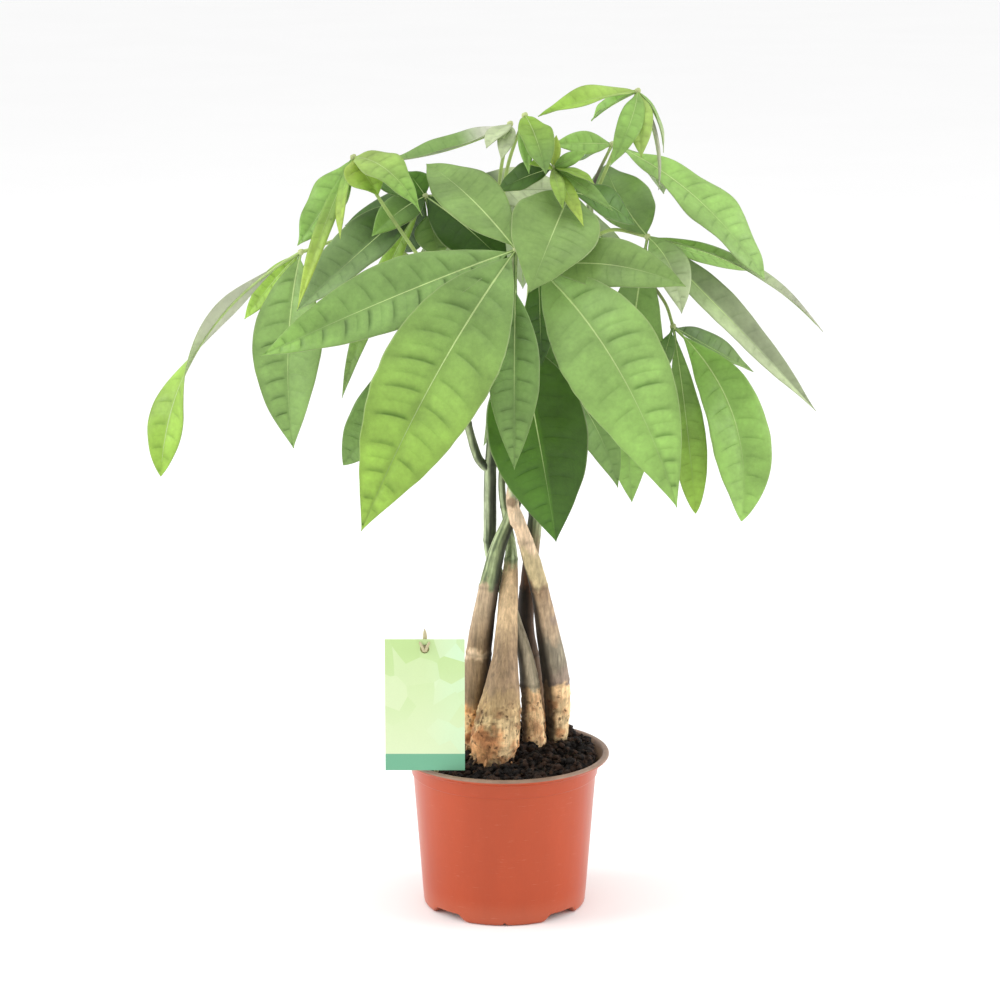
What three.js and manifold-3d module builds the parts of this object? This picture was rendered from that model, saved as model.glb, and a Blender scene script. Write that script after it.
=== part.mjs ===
// A potted money tree: five swollen trunks that lean together and cross over a thin-walled nursery pot,
// with green shoots above the crossing that carry long-stalked leaves of several leaflets each.
// Millimetres, +Z up. The origin is the middle of the pot's flat underside. The label hangs on the -Y side.
import * as THREE from 'three';
import { mergeVertices } from 'three/addons/utils/BufferGeometryUtils.js';
import Module from 'manifold-3d';

const wasm = await Module();
wasm.setup();

const { degToRad, lerp, clamp } = THREE.MathUtils;

// ---------------------------------------------------------------- driving dimensions

const GAP = 0.3; // between pieces that rest on each other

const POT = {
  rimRadius: 60,
  mouthRadius: 56.6, // inside the rolled rim
  shoulderRadius: 52.4, // outside, under the rim band
  footRadius: 46.5,
  height: 90,
  bandHeight: 13, // the slightly wider band under the rim
  wall: 1.2,
  floor: 1.6,
  sides: 36,
};
const DRAIN = {
  count: 4,
  halfAngle: degToRad(15),
  height: 4.2,
  inner: 20, // the channels under the floor start this far out
  slitWidth: 2.4, // the small slit in the middle of each foot
  slitHeight: 1.8,
};
const SOIL = { level: 86, heap: 5, grain: 1.1, rings: 5, sides: 26 };
const BARK = { sides: 10, lumps: 0.04 };
const STALK = { root: 1.4, end: 1, sides: 5, steps: 4, knob: 2.1 };
const BLADE = {
  thickness: 0.8,
  stalkWidth: 2.2,
  tipWidth: 0.9,
  taper: [1, 1.15], // how slowly the outline opens from the stalk, and closes to the tip
};
const CARD = { width: 44.5, height: 75.5, thickness: 0.7, hole: 2.6, holeDrop: 5.5, bottom: 91.8 };
const STAKE = { radius: 1.3, hook: 0.9, sides: 8 };

const LOOKS = {
  pot: { color: 0xc2583a, roughness: 0.45, metalness: 0 },
  soil: { color: 0x2a1d18, roughness: 1, metalness: 0 },
  bark: { color: 0xa58a6c, roughness: 0.85, metalness: 0 },
  mature: { color: 0x6f9a4c, roughness: 0.45, metalness: 0 },
  young: { color: 0x9bc25a, roughness: 0.5, metalness: 0 },
  card: { color: 0xdcefc4, roughness: 0.5, metalness: 0 },
  stake: { color: 0xf0ecdc, roughness: 0.4, metalness: 0 },
};

// ---------------------------------------------------------------- solids

const vec = ([x, y, z]) => new THREE.Vector3(x, y, z);
const UP = new THREE.Vector3(0, 0, 1);

// A three.js geometry as a closed solid that can be joined and cut.
function solidOf(geometry) {
  const bare = geometry.index ? geometry.toNonIndexed() : geometry;
  for (const name of Object.keys(bare.attributes)) {
    if (name !== 'position') bare.deleteAttribute(name);
  }
  const merged = mergeVertices(bare, 1e-4);
  return new wasm.Manifold(
    new wasm.Mesh({
      numProp: 3,
      vertProperties: new Float32Array(merged.attributes.position.array),
      triVerts: new Uint32Array(merged.index.array),
    }),
  );
}

// The largest body of a solid, as a three.js geometry.
function geometryOf(solid) {
  const bodies = solid.decompose().sort((a, b) => b.volume() - a.volume());
  const mesh = bodies[0].getMesh();
  const geometry = new THREE.BufferGeometry();
  geometry.setAttribute('position', new THREE.BufferAttribute(mesh.vertProperties, 3));
  geometry.setIndex(new THREE.BufferAttribute(mesh.triVerts, 1));
  geometry.computeVertexNormals();
  return geometry;
}

const joined = (solids) => solids.reduce((whole, solid) => whole.add(solid));

// A turned solid from a profile of [radius, height].
const turned = (profile, sides) =>
  solidOf(
    new THREE.LatheGeometry(
      profile.map(([radius, height]) => new THREE.Vector2(radius, height)),
      sides,
    ).rotateX(Math.PI / 2),
  );

// A rod along a smooth curve through stations of [x, y, z, radius]. lumps makes it a little oval.
function limb(stations, { sides, steps, lumps = 0, grow = 0 }) {
  const curve = new THREE.CatmullRomCurve3(stations.map(vec), false, 'centripetal');
  const spans = stations.length - 1;
  const rings = [];
  let side = new THREE.Vector3(0, 1, 0);
  for (let i = 0; i <= steps; i += 1) {
    const along = (i / steps) * spans;
    const span = Math.min(Math.floor(along), spans - 1);
    const tangent = curve.getTangent(i / steps);
    side = side.clone().addScaledVector(tangent, -side.dot(tangent)).normalize();
    rings.push({
      centre: curve.getPoint(i / steps),
      radius: lerp(stations[span][3], stations[span + 1][3], along - span),
      tangent,
      side,
      other: tangent.clone().cross(side),
    });
  }
  rings[0].centre.addScaledVector(rings[0].tangent, -grow);
  rings[steps].centre.addScaledVector(rings[steps].tangent, grow);
  const geometry = new THREE.CylinderGeometry(1, 1, 1, sides, steps);
  const position = geometry.attributes.position;
  for (let i = 0; i < position.count; i += 1) {
    const ring = rings[Math.round((0.5 + position.getY(i)) * steps)];
    const angle = Math.atan2(position.getZ(i), position.getX(i));
    const onWall = Math.hypot(position.getX(i), position.getZ(i)) > 0.5 ? 1 : 0;
    const radius = onWall * (ring.radius * (1 + lumps * Math.sin(2 * angle)) + grow);
    const point = ring.centre.clone();
    point.addScaledVector(ring.side, Math.cos(angle) * radius);
    point.addScaledVector(ring.other, -Math.sin(angle) * radius);
    position.setXYZ(i, point.x, point.y, point.z);
  }
  return solidOf(geometry);
}

// ---------------------------------------------------------------- pot, soil and label

// A wedge of a ring between two radii, from z = low to z = high, centred on an angle about +Z.
function sector(inner, outer, low, high, angle, halfAngle) {
  const shape = new THREE.Shape();
  shape.absarc(0, 0, outer, angle - halfAngle, angle + halfAngle, false);
  shape.absarc(0, 0, inner, angle + halfAngle, angle - halfAngle, true);
  const extrusion = { depth: high - low, bevelEnabled: false, curveSegments: 4 };
  return solidOf(new THREE.ExtrudeGeometry(shape, extrusion).translate(0, 0, low));
}

const footAngles = Array.from({ length: DRAIN.count }, (_, i) => (i * 2 * Math.PI) / DRAIN.count);
const drainAngles = footAngles.map((angle) => angle + Math.PI / DRAIN.count);

function potSolid() {
  const { rimRadius, mouthRadius, shoulderRadius, footRadius, height, bandHeight, wall, floor } = POT;
  const lip = height - 1.6;
  const band = height - bandHeight;
  const ceiling = DRAIN.height + wall;
  let pot = turned(
    [
      [0, 0],
      [footRadius - 2, 0],
      [footRadius, 2],
      [shoulderRadius, band],
      [shoulderRadius + 0.9, band + 0.9],
      [shoulderRadius + 2, lip - 3.4],
      [rimRadius - 0.6, lip - 0.6],
      [rimRadius, lip],
      [rimRadius - 0.8, height],
      [mouthRadius, height],
      [shoulderRadius + 2 - wall, lip - 4],
      [shoulderRadius - wall, band],
      [footRadius - wall, floor + 3],
      [footRadius - wall - 3, floor],
      [0, floor],
    ],
    POT.sides,
  );
  for (const angle of drainAngles) {
    const roof = sector(DRAIN.inner - wall, footRadius - 1.4, 1, ceiling, angle, DRAIN.halfAngle + 0.04);
    const channel = sector(DRAIN.inner, footRadius + 4, -1, DRAIN.height, angle, DRAIN.halfAngle);
    const hole = sector(footRadius - 9, footRadius - 4, 0, ceiling + 2, angle, 0.09);
    pot = pot.add(roof).subtract(channel).subtract(hole);
  }
  for (const angle of footAngles) {
    const slit = new THREE.BoxGeometry(8, DRAIN.slitWidth, DRAIN.slitHeight * 2);
    pot = pot.subtract(solidOf(slit.translate(footRadius - 1, 0, 0).rotateZ(angle)));
  }
  return pot;
}

// The soil's surface: lowest at the front, heaped against the trunks and at the back right, and crumbly.
function soilHeight(x, y) {
  const outwards = Math.hypot(x, y) / POT.mouthRadius;
  const heap = SOIL.heap * (1 - outwards * outwards);
  const slope = 0.05 * x + 0.09 * y;
  const crumbs = SOIL.grain * (Math.sin(0.41 * x + 1.3) * Math.cos(0.37 * y) + Math.sin(0.23 * (x - y)));
  const inland = clamp((1 - outwards) * 6, 0, 1);
  return SOIL.level + lerp(0.6, heap + slope + crumbs, inland);
}

function soilSolid() {
  const { shoulderRadius, footRadius, height, bandHeight, wall, floor } = POT;
  const inside = shoulderRadius - wall - GAP;
  const foot = footRadius - wall - GAP;
  const edge = inside + 1.6;
  const surface = Array.from({ length: SOIL.rings }, (_, i) => edge * (1 - i / SOIL.rings));
  const profile = [
    [0, floor + GAP],
    [foot - 3.2, floor + GAP],
    [foot, floor + 3.2],
    [inside, height - bandHeight],
    ...surface.map((radius) => [radius, SOIL.level]),
    [0, SOIL.level],
  ];
  const points = profile.map(([radius, z]) => new THREE.Vector2(radius, z));
  const geometry = new THREE.LatheGeometry(points, SOIL.sides).rotateX(Math.PI / 2);
  const position = geometry.attributes.position;
  for (let i = 0; i < position.count; i += 1) {
    if (position.getZ(i) > SOIL.level - 0.01) {
      position.setZ(i, soilHeight(position.getX(i), position.getY(i)));
    }
  }
  let soil = solidOf(geometry);
  for (const angle of drainAngles) {
    const top = DRAIN.height + wall + GAP;
    const channel = sector(DRAIN.inner - wall - GAP, footRadius, 0, top, angle, DRAIN.halfAngle + 0.06);
    soil = soil.subtract(channel);
  }
  return soil;
}

// The card hangs from a hook on the stake that stands in the soil behind it.
const cardPlace = new THREE.Matrix4().makeRotationX(Math.PI / 2 - 0.02).setPosition(-44.5, -44, CARD.bottom);
const onCard = (x, y, z) => new THREE.Vector3(x, y, z).applyMatrix4(cardPlace).toArray();

function cardSolid() {
  const half = CARD.width / 2;
  const shape = new THREE.Shape();
  shape.moveTo(-half, 0).lineTo(half, 0).lineTo(half, CARD.height).lineTo(-half, CARD.height);
  const hole = new THREE.Path();
  hole.absarc(0, CARD.height - CARD.holeDrop, CARD.hole, 0, 2 * Math.PI, true);
  shape.holes.push(hole);
  const extrusion = { depth: CARD.thickness, bevelEnabled: false, curveSegments: 8 };
  return solidOf(new THREE.ExtrudeGeometry(shape, extrusion).applyMatrix4(cardPlace));
}

function stakeSolid(grow = 0) {
  const { radius, hook, sides } = STAKE;
  const holeHeight = CARD.height - CARD.holeDrop;
  const back = -(radius + GAP);
  const rod = [
    [-38, -24, 60, radius],
    [-39, -29, 92, radius],
    [...onCard(1, CARD.height * 0.45, back - 3), radius],
    [...onCard(0, CARD.height + 6, back), radius],
  ];
  const peg = [
    [...onCard(0, holeHeight - 2.6, back), hook],
    [...onCard(0, holeHeight - 1.2, back + 1), hook],
    [...onCard(0, holeHeight - 0.6, CARD.thickness + 1.2), hook],
    [...onCard(0, holeHeight + 4.5, CARD.thickness + 2), hook],
  ];
  return limb(rod, { sides, steps: 9, grow }).add(limb(peg, { sides: 6, steps: 6, grow }));
}

// ---------------------------------------------------------------- trunks and shoots

// Stations of [x, y, z, radius] from the root in the soil, over the swollen foot, to the top of the shoot.
const TRUNKS = {
  trunk_left: [
    [-22, 6, 64, 5],
    [-20, 6, 84, 7.5],
    [-19.3, 5, 106, 7.3],
    [-18, 4, 121, 6.5],
    [-15.5, 3.5, 140, 7.6],
    [-13.7, 2.5, 156, 7],
    [-10.3, 1.3, 178, 5.9],
    [-8, 1, 191, 5.4],
    [-3.7, 1.8, 209, 4.4],
    [3.1, 3, 226, 3.6],
    [9, 2, 244, 3.2],
    [17, 0, 268, 3],
    [31, 2, 305, 2.7],
    [43, 6, 345, 2.5],
    [47, 7, 380, 2.3],
    [47, 6, 406, 2.1],
  ],
  trunk_front: [
    [-6, -13, 66, 9],
    [-6.4, -13, 86, 11.2],
    [-5.6, -13, 100, 13.9],
    [-3, -12.6, 116, 12.2],
    [-1.2, -11.5, 133, 9.5],
    [0.3, -9, 149, 7],
    [1.4, -5, 167, 5.9],
    [2.3, 0, 182, 5.4],
    [3.4, 5, 196, 4.2],
    [3.7, 9, 207, 3.1],
    [1.4, 12, 222, 2.3],
    [-1.5, 13.5, 240, 2],
    [-0.5, 16.5, 262, 2],
    [3, 22, 300, 2],
    [5, 27, 340, 2],
    [5, 31, 374, 1.9],
  ],
  trunk_middle: [
    [17, 7, 66, 5],
    [17, 7, 88, 6.6],
    [16.4, 8, 107, 6.6],
    [14.9, 9, 124, 5.7],
    [11.7, 10, 144, 4.4],
    [6.6, 11, 161, 3.8],
    [1.8, 13, 176, 3.5],
    [-3.8, 15, 190, 3.5],
    [-8, 16, 204, 3.5],
    [-8.3, 16, 222, 3.7],
    [-8.2, 15, 245, 3.6],
    [-7.6, 14, 262, 3.1],
    [-5, 11, 292, 2.7],
    [-2, 5, 335, 2.5],
    [-3, 2, 375, 2.3],
    [-4, 1, 408, 2.1],
  ],
  trunk_right: [
    [30, 14, 66, 4.5],
    [30, 14, 88, 5.6],
    [30.4, 13, 101, 6.6],
    [30.4, 12, 116, 7.5],
    [29.4, 11, 129, 7.8],
    [27.4, 9, 143, 7.5],
    [25.6, 8, 153, 7],
    [21.2, 3, 178, 5.3],
    [18.4, 0, 191, 5.1],
    [15.4, -2, 202, 5.1],
    [8.2, -5, 225, 3.6],
    [4.2, -5, 236, 3.3],
    [4.5, -4, 247, 2.8],
    [9, -4, 268, 2.5],
    [11, -8, 312, 2.4],
    [12, -16, 352, 2.2],
  ],
  trunk_back: [
    [20, 27, 66, 5.5],
    [20, 27, 90, 6.8],
    [18, 27, 112, 6.2],
    [14.7, 25.5, 137, 5.6],
    [12, 23, 158, 5],
    [14.6, 18, 195, 4.3],
    [16.8, 16, 216, 4.2],
    [20, 15, 250, 3.4],
    [24, 16, 290, 3],
    [27, 13, 340, 2.7],
    [31, 1, 385, 2.4],
    [34, -10, 406, 2.1],
  ],
};
// The middle trunk forks above the crossing.
const FORK = [
  [-9, 14.5, 252, 2.6],
  [-14.2, 14, 257, 2.6],
  [-17, 13.5, 264, 2.5],
  [-19, 13, 271, 2.3],
  [-22.5, 13, 285, 2.3],
  [-30, 13, 315, 2.3],
  [-35, 14, 350, 2.2],
  [-36, 15, 378, 2],
];

function trunkSolid(name, grow = 0) {
  const stations = TRUNKS[name];
  const steps = Math.round((stations.length - 1) * 1.25);
  const trunk = limb(stations, { ...BARK, steps, grow });
  return name === 'trunk_middle' ? trunk.add(limb(FORK, { sides: 7, steps: 7, grow })) : trunk;
}

// ---------------------------------------------------------------- leaves

// How wide a leaflet is at a share of its length, from 0 at both ends to 1.
function outline(share, [baseTaper, tipTaper]) {
  const widest = baseTaper / (baseTaper + tipTaper);
  return (share / widest) ** baseTaper * ((1 - share) / (1 - widest)) ** tipTaper;
}

// One leaflet: a thin blade, creased along its midrib, that bows over from the hub to its tip.
// faces is the way its upper side looks, by default up and outwards. roll and twist turn it about its midrib.
// fold is how far each half rises from flat, and bare the share of its length without a blade. sway bends the
// midrib sideways, and taper is how slowly the outline opens from the stalk and closes to the tip.
function leaflet(hub, blade) {
  const { tip, width, bow, sway = 0, faces, roll = 0, twist = 0, fold = 12 } = blade;
  const { bare = 0.03, taper = BLADE.taper } = blade;
  const start = vec(hub);
  const end = vec(tip);
  const middle = start.clone().lerp(end, 0.5);
  const chord = end.clone().sub(start).normalize();
  const outwards = new THREE.Vector3(middle.x, middle.y, 0).normalize();
  const facing = faces ? vec(faces).normalize() : outwards.add(UP).normalize();
  const rise = facing.clone().addScaledVector(chord, -facing.dot(chord)).normalize();
  const bent = middle.addScaledVector(rise, bow).addScaledVector(rise.clone().cross(chord), sway);
  const curve = new THREE.QuadraticBezierCurve3(start, bent, end);
  const steps = width > 40 ? 6 : width > 20 ? 5 : 4;
  const geometry = new THREE.BoxGeometry(2, 1, 1, 2, 1, steps);
  const position = geometry.attributes.position;
  for (let i = 0; i < position.count; i += 1) {
    const across = position.getX(i);
    const share = clamp(position.getZ(i) + 0.5, 0, 1);
    const tangent = curve.getTangent(share);
    const normal = facing.clone().addScaledVector(tangent, -facing.dot(tangent)).normalize();
    normal.applyAxisAngle(tangent, degToRad(roll + twist * share));
    const sideways = normal.clone().cross(tangent);
    const least = lerp(BLADE.stalkWidth, BLADE.tipWidth, share);
    const half = Math.max(least, width * outline(clamp((share - bare) / (1 - bare), 0, 1), taper)) / 2;
    const point = curve.getPoint(share);
    point.addScaledVector(sideways, across * half * Math.cos(degToRad(fold)));
    point.addScaledVector(normal, Math.abs(across) * half * Math.sin(degToRad(fold)));
    point.addScaledVector(normal, position.getY(i) * BLADE.thickness);
    position.setXYZ(i, point.x, point.y, point.z);
  }
  return solidOf(geometry);
}

// A leaf: a stalk that rises from a shoot, and leaflets that spread from its end.
function leafSolid({ stalk, blades }) {
  const hub = stalk[stalk.length - 1];
  const last = stalk.length - 1;
  const stations = stalk.map((point, i) => [...point, lerp(STALK.root, STALK.end, i / last)]);
  const rod = limb(stations, { sides: STALK.sides, steps: STALK.steps });
  const knob = solidOf(new THREE.IcosahedronGeometry(STALK.knob, 0).translate(...hub));
  return joined([rod, knob, ...blades.map((one) => leaflet(hub, one))]);
}

// Leaflets that spread about a heading, in degrees from +X. The middle one is the longest.
function spread(hub, { heading, arc, count, length, droop }) {
  return Array.from({ length: count }, (_, i) => {
    const off = i / (count - 1) - 0.5;
    const reach = length * (1 - 1.1 * off * off);
    const angle = degToRad(heading + off * arc);
    const flat = reach * Math.cos(degToRad(droop));
    const fall = reach * Math.sin(degToRad(droop + 14 * off));
    const tip = [hub[0] + flat * Math.cos(angle), hub[1] + flat * Math.sin(angle), hub[2] - fall];
    return { tip, width: reach * 0.3, bow: reach * 0.15 };
  });
}

// Each leaf: the shoot it grows from, the line of its stalk up to the hub, and its leaflets.
const LEAVES = {
  leaf_front: {
    shoot: 'trunk_right',
    stalk: [[12, -12, 338], [13, -42, 374], [6, -75, 390]],
    blades: [
      { tip: [-43, -10, 428], width: 34, bow: 14, faces: [-0.1, -0.4, 0.6] },
      { tip: [-129, -94, 336], width: 41, bow: 20, sway: 7, faces: [-0.4, -0.6, 0.3] },
      { tip: [-75, -137, 251], width: 60, bow: 34, sway: -5, faces: [-0.05, -0.9, 0.35] },
      { tip: [5, -114, 279], width: 28, bow: 18, faces: [-0.05, -0.8, 0.2], bare: 0.2 },
    ],
  },
  leaf_front_right: {
    shoot: 'trunk_back',
    stalk: [[29, 9, 360], [32, -24, 384], [18, -58, 378]],
    blades: [
      { tip: [90, -130, 262], width: 54, bow: 30, sway: 19, faces: [-0.15, -0.9, 0.4], taper: [0.9, 1.15] },
      { tip: [96, -80, 371], width: 32, bow: 12, sway: 7, faces: [0.1, -0.6, 0.5] },
      { tip: [20, -46, 322], width: 17, bow: 2, faces: [0, -1, 0.2] },
    ],
  },
  leaf_top_front: {
    shoot: 'trunk_back',
    stalk: [[32, -3, 393], [38, -15, 402], [36, -28, 415]],
    blades: [
      { tip: [13, -93, 370], width: 49, bow: 16, faces: [0.15, -0.5, 0.6] },
      { tip: [71, -14, 395], width: 24, bow: 8, faces: [0.2, -0.5, 0.6] },
    ],
  },
  leaf_top_young: {
    look: 'young',
    shoot: 'trunk_back',
    stalk: [[33, -9, 404], [28, -17, 418], [26, -29, 428]],
    blades: [
      { tip: [42, -64, 401], width: 9, bow: 5, faces: [0, -0.5, 0.8] },
      { tip: [28, -22, 445], width: 7, bow: 2, faces: [0, -1, 0] },
      { tip: [13, -46, 432], width: 9, bow: 4 },
      { tip: [48, -50, 422], width: 11, bow: 4 },
      { tip: [31, -62, 410], width: 8, bow: 4, faces: [0, -0.6, 0.8] },
      { tip: [45, -34, 438], width: 8, bow: 3, faces: [0.2, -0.8, 0.4] },
      { tip: [58, -54, 408], width: 9, bow: 6, faces: [0.2, -0.8, 0.4] },
      { tip: [-4, -24, 415], width: 20, bow: 3, faces: [0, -0.6, 0.8] },
    ],
  },
  leaf_shaded: {
    shoot: 'trunk_right',
    stalk: [[10, -6, 296], [14, -18, 325], [7, -27, 337]],
    blades: [
      { tip: [28, -64, 228], width: 56, bow: 14, sway: 2, faces: [0, -1, 0.1] },
      { tip: [63, -22, 249], width: 30, bow: 16, sway: 12, faces: [0.3, -0.8, 0.3] },
    ],
  },
  leaf_crown_long: {
    shoot: 'trunk_middle',
    stalk: [[-4, 1, 400], [-2, 2, 424], [3, -1, 449]],
    blades: [
      { tip: [-66, 2, 428], width: 22, bow: -8, faces: [0, -0.3, 1], fold: 30 },
      { tip: [-10, -30, 439], width: 13, bow: 4, faces: [-0.3, -0.6, 0.6] },
      { tip: [-2, -34, 433], width: 10, bow: 4, faces: [0, -0.9, 0.3] },
    ],
  },
  leaf_crown_young: {
    look: 'young',
    shoot: 'trunk_middle',
    stalk: [[-2, -1, 402], [2, -8, 428], [11, -14, 455]],
    blades: [
      { tip: [22, -50, 427], width: 20, bow: 8, faces: [0.2, -0.8, 0.4], fold: 20 },
      { tip: [13, -46, 427], width: 9, bow: 4, faces: [-0.2, -0.8, 0.4] },
    ],
  },
  leaf_crown_right: {
    look: 'young',
    shoot: 'trunk_left',
    stalk: [[47, 6, 402], [58, 5, 428], [73, 0, 467]],
    blades: [
      { tip: [18, -20, 455], width: 22, bow: 6, sway: 3, faces: [-0.2, -0.5, 0.8] },
      { tip: [48, 14, 449], width: 15, bow: 6, sway: 5, faces: [-0.2, -0.5, 0.8], fold: 30 },
      { tip: [57, -35, 430], width: 14, bow: 9, sway: 5, faces: [0, -0.9, 0.4] },
      { tip: [74, -30, 434], width: 15, bow: 6, faces: [0, -0.9, 0.4] },
      { tip: [84, -20, 415], width: 5, bow: 8, fold: 40 },
      { tip: [87, -8, 434], width: 13, bow: 8, taper: [0.7, 1.3] },
    ],
  },
  leaf_right_high: {
    shoot: 'trunk_left',
    stalk: [[47, 7, 392], [49, 14, 412], [60, 25, 435]],
    blades: [
      { tip: [143, -16, 365], width: 36, bow: 22, faces: [0.4, -0.5, 0.6], taper: [1.3, 1] },
      { tip: [27, 14, 436], width: 15, bow: 2, faces: [0, -0.7, 0.5] },
      { tip: [41, 60, 421], width: 11, bow: 1, faces: [0, -0.6, 0.6] },
      { tip: [92, 82, 400], width: 28, bow: 10 },
    ],
  },
  leaf_right: {
    shoot: 'trunk_left',
    stalk: [[47, 7, 384], [60, 3, 390], [79, -4, 387]],
    blades: [
      { tip: [177, -5, 334], width: 14, bow: 22, faces: [0.2, -0.3, 0.9], fold: 25 },
      { tip: [170, -45, 297], width: 25, bow: 8, sway: -5, faces: [0.4, -0.6, 0.5], fold: 20, taper: [0.8, 1.2] },
      { tip: [96, -46, 351], width: 21, bow: 8, sway: 8, faces: [0, -0.8, 0.5] },
      { tip: [72, 4, 235], width: 38, bow: 6, sway: -11, faces: [0, -1, 0.2], taper: [1, 1] },
      { tip: [58, 56, 420], width: 36, bow: 6, sway: 9, faces: [0, -0.5, 0.9], taper: [0.8, 1.1] },
      { tip: [142, 30, 363], width: 15, bow: -2, faces: [0.1, -0.6, 0.7] },
    ],
  },
  leaf_right_low: {
    shoot: 'trunk_left',
    stalk: [[46, 7, 368], [72, 20, 366], [89, 12, 349], [94, 0, 336]],
    blades: [
      { tip: [141, 24, 306], width: 21, bow: 1, sway: -2, faces: [0.3, -0.4, 0.7], fold: 25 },
      {
        tip: [131, -36, 233],
        width: 37,
        bow: 24,
        sway: 22,
        faces: [0.35, -0.9, 0.2],
        bare: 0.05,
        taper: [1.1, 0.85],
      },
      { tip: [106, -30, 236], width: 20, bow: 8, faces: [0.2, -1, 0.1], taper: [1.2, 0.8] },
      { tip: [86, -28, 311], width: 10, bow: 7, faces: [-0.2, -0.8, 0.2], bare: 0.15 },
    ],
  },
  leaf_left_high: {
    look: 'young',
    shoot: 'trunk_middle',
    stalk: [[-33, 14, 340], [-42, -12, 368], [-66, -30, 408], [-82, -30, 434]],
    blades: [
      { tip: [-112, -45, 388], width: 25, bow: 3, sway: 5, faces: [-0.4, -0.7, 0.5] },
      { tip: [-111, -68, 357], width: 10, bow: 8, faces: [-0.3, -0.8, 0.4] },
      { tip: [-88, -62, 394], width: 9, bow: 6 },
      { tip: [-68, -52, 416], width: 23, bow: 3, faces: [0, -0.7, 0.6] },
      { tip: [-44, -60, 406], width: 23, bow: 22, faces: [0, -0.5, 0.8], taper: [0.9, 1.6] },
      { tip: [-50, -12, 410], width: 19, bow: 2, faces: [0, -0.7, 0.6] },
    ],
  },
  leaf_left: {
    shoot: 'trunk_middle',
    stalk: [[-36, 15, 374], [-37, 14, 392], [-44, 8, 408]],
    blades: [
      { tip: [-114, -25, 349], width: 36, bow: 8, sway: 4, faces: [-0.2, -0.6, 0.7], fold: 22 },
      { tip: [-90, 34, 388], width: 22, bow: 3, faces: [0, -0.6, 0.8] },
      { tip: [-73, -16, 389], width: 20, bow: 8, faces: [0, -0.7, 0.6] },
      { tip: [2, -16, 372], width: 36, bow: 8, faces: [0, -0.7, 0.6] },
      { tip: [38, 32, 408], width: 32, bow: 5, faces: [0, -0.6, 0.8], taper: [1.5, 1] },
      { tip: [-61, 40, 372], width: 26, bow: 5, faces: [0, -0.9, 0.4] },
      { tip: [-92, 18, 292], width: 14, bow: 19, faces: [-0.3, -0.8, 0.4] },
      { tip: [-54, 14, 421], width: 16, bow: 2, faces: [0, -0.8, 0.5] },
      { tip: [-36, -12, 376], width: 22, bow: 3, faces: [0, -0.9, 0.4], bare: 0.3 },
    ],
  },
  leaf_left_far: {
    shoot: 'trunk_middle',
    stalk: [[-35, 14, 358], [-75, 10, 386], [-113, 0, 378]],
    blades: [
      {
        tip: [-191, -25, 256],
        width: 30,
        bow: 40,
        faces: [-0.6, 0, 0.6],
        roll: 116,
        twist: -200,
        taper: [1.8, 0.9],
      },
      { tip: [-146, 14, 338], width: 14, bow: 6, faces: [0, -0.8, 0.5] },
      { tip: [-117, -25, 272], width: 41, bow: 10, sway: -7, faces: [-0.3, -1, 0.1] },
    ],
  },
  leaf_left_low: {
    shoot: 'trunk_middle',
    stalk: [[-28, 13, 305], [-36, 22, 328], [-42, 25, 333]],
    blades: [
      { tip: [-91, 5, 256], width: 30, bow: 10, sway: 7, faces: [-0.3, -0.9, 0.2], taper: [1.4, 0.9] },
      { tip: [-74, 60, 290], width: 18, bow: 10 },
    ],
  },
};

const BACK_LEAVES = {
  leaf_back: {
    shoot: 'trunk_front',
    stalk: [[5, 31, 368], [8, 52, 392], [8, 76, 400]],
    fan: { heading: 88, arc: 190, count: 5, length: 118, droop: 36 },
  },
  leaf_back_left: {
    shoot: 'trunk_front',
    stalk: [[5, 28, 345], [-6, 42, 356], [-20, 58, 350]],
    fan: { heading: 108, arc: 120, count: 3, length: 88, droop: 54 },
  },
  leaf_back_right: {
    shoot: 'trunk_back',
    stalk: [[26, 14, 330], [38, 34, 348], [52, 52, 346]],
    fan: { heading: 40, arc: 170, count: 4, length: 86, droop: 54 },
  },
  leaf_back_low: {
    shoot: 'trunk_front',
    stalk: [[3, 22, 300], [12, 38, 312], [20, 56, 308]],
    fan: { heading: 80, arc: 170, count: 4, length: 82, droop: 56 },
  },
};

// ---------------------------------------------------------------- the scene graph

const part = new THREE.Group();

function place(name, solid, look) {
  const mesh = new THREE.Mesh(geometryOf(solid), new THREE.MeshStandardMaterial(LOOKS[look]));
  mesh.name = name;
  part.add(mesh);
}

function placeLeaf(name, { shoot, stalk, blades, look = 'mature' }) {
  const leaf = leafSolid({ stalk, blades }).subtract(trunkSolid(shoot, GAP));
  place(name, leaf, look);
}

place('pot', potSolid(), 'pot');
let soil = soilSolid().subtract(stakeSolid(GAP));
for (const name of Object.keys(TRUNKS)) {
  place(name, trunkSolid(name), 'bark');
  soil = soil.subtract(trunkSolid(name, GAP));
}
place('soil', soil, 'soil');
place('label_card', cardSolid(), 'card');
place('label_stake', stakeSolid(), 'stake');
for (const [name, leaf] of Object.entries(LEAVES)) {
  placeLeaf(name, leaf);
}
for (const [name, { shoot, stalk, fan }] of Object.entries(BACK_LEAVES)) {
  placeLeaf(name, { shoot, stalk, blades: spread(stalk[stalk.length - 1], fan) });
}

export default part;
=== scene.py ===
"""A potted money tree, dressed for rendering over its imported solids.

Every leaf, trunk, the pot, the soil and the label's stake get a finer piece that keeps the form of its
solid: blades with a rib and quilted veins, bark in bands, and crumbs on the soil. Shapes are stated in
millimetres, as on a drawing, and made in metres.
"""

import logging
import math
import random
from dataclasses import dataclass, field
from enum import Enum
from typing import Callable

import bmesh
import bpy
from mathutils import Matrix, Quaternion, Vector, noise


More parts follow.
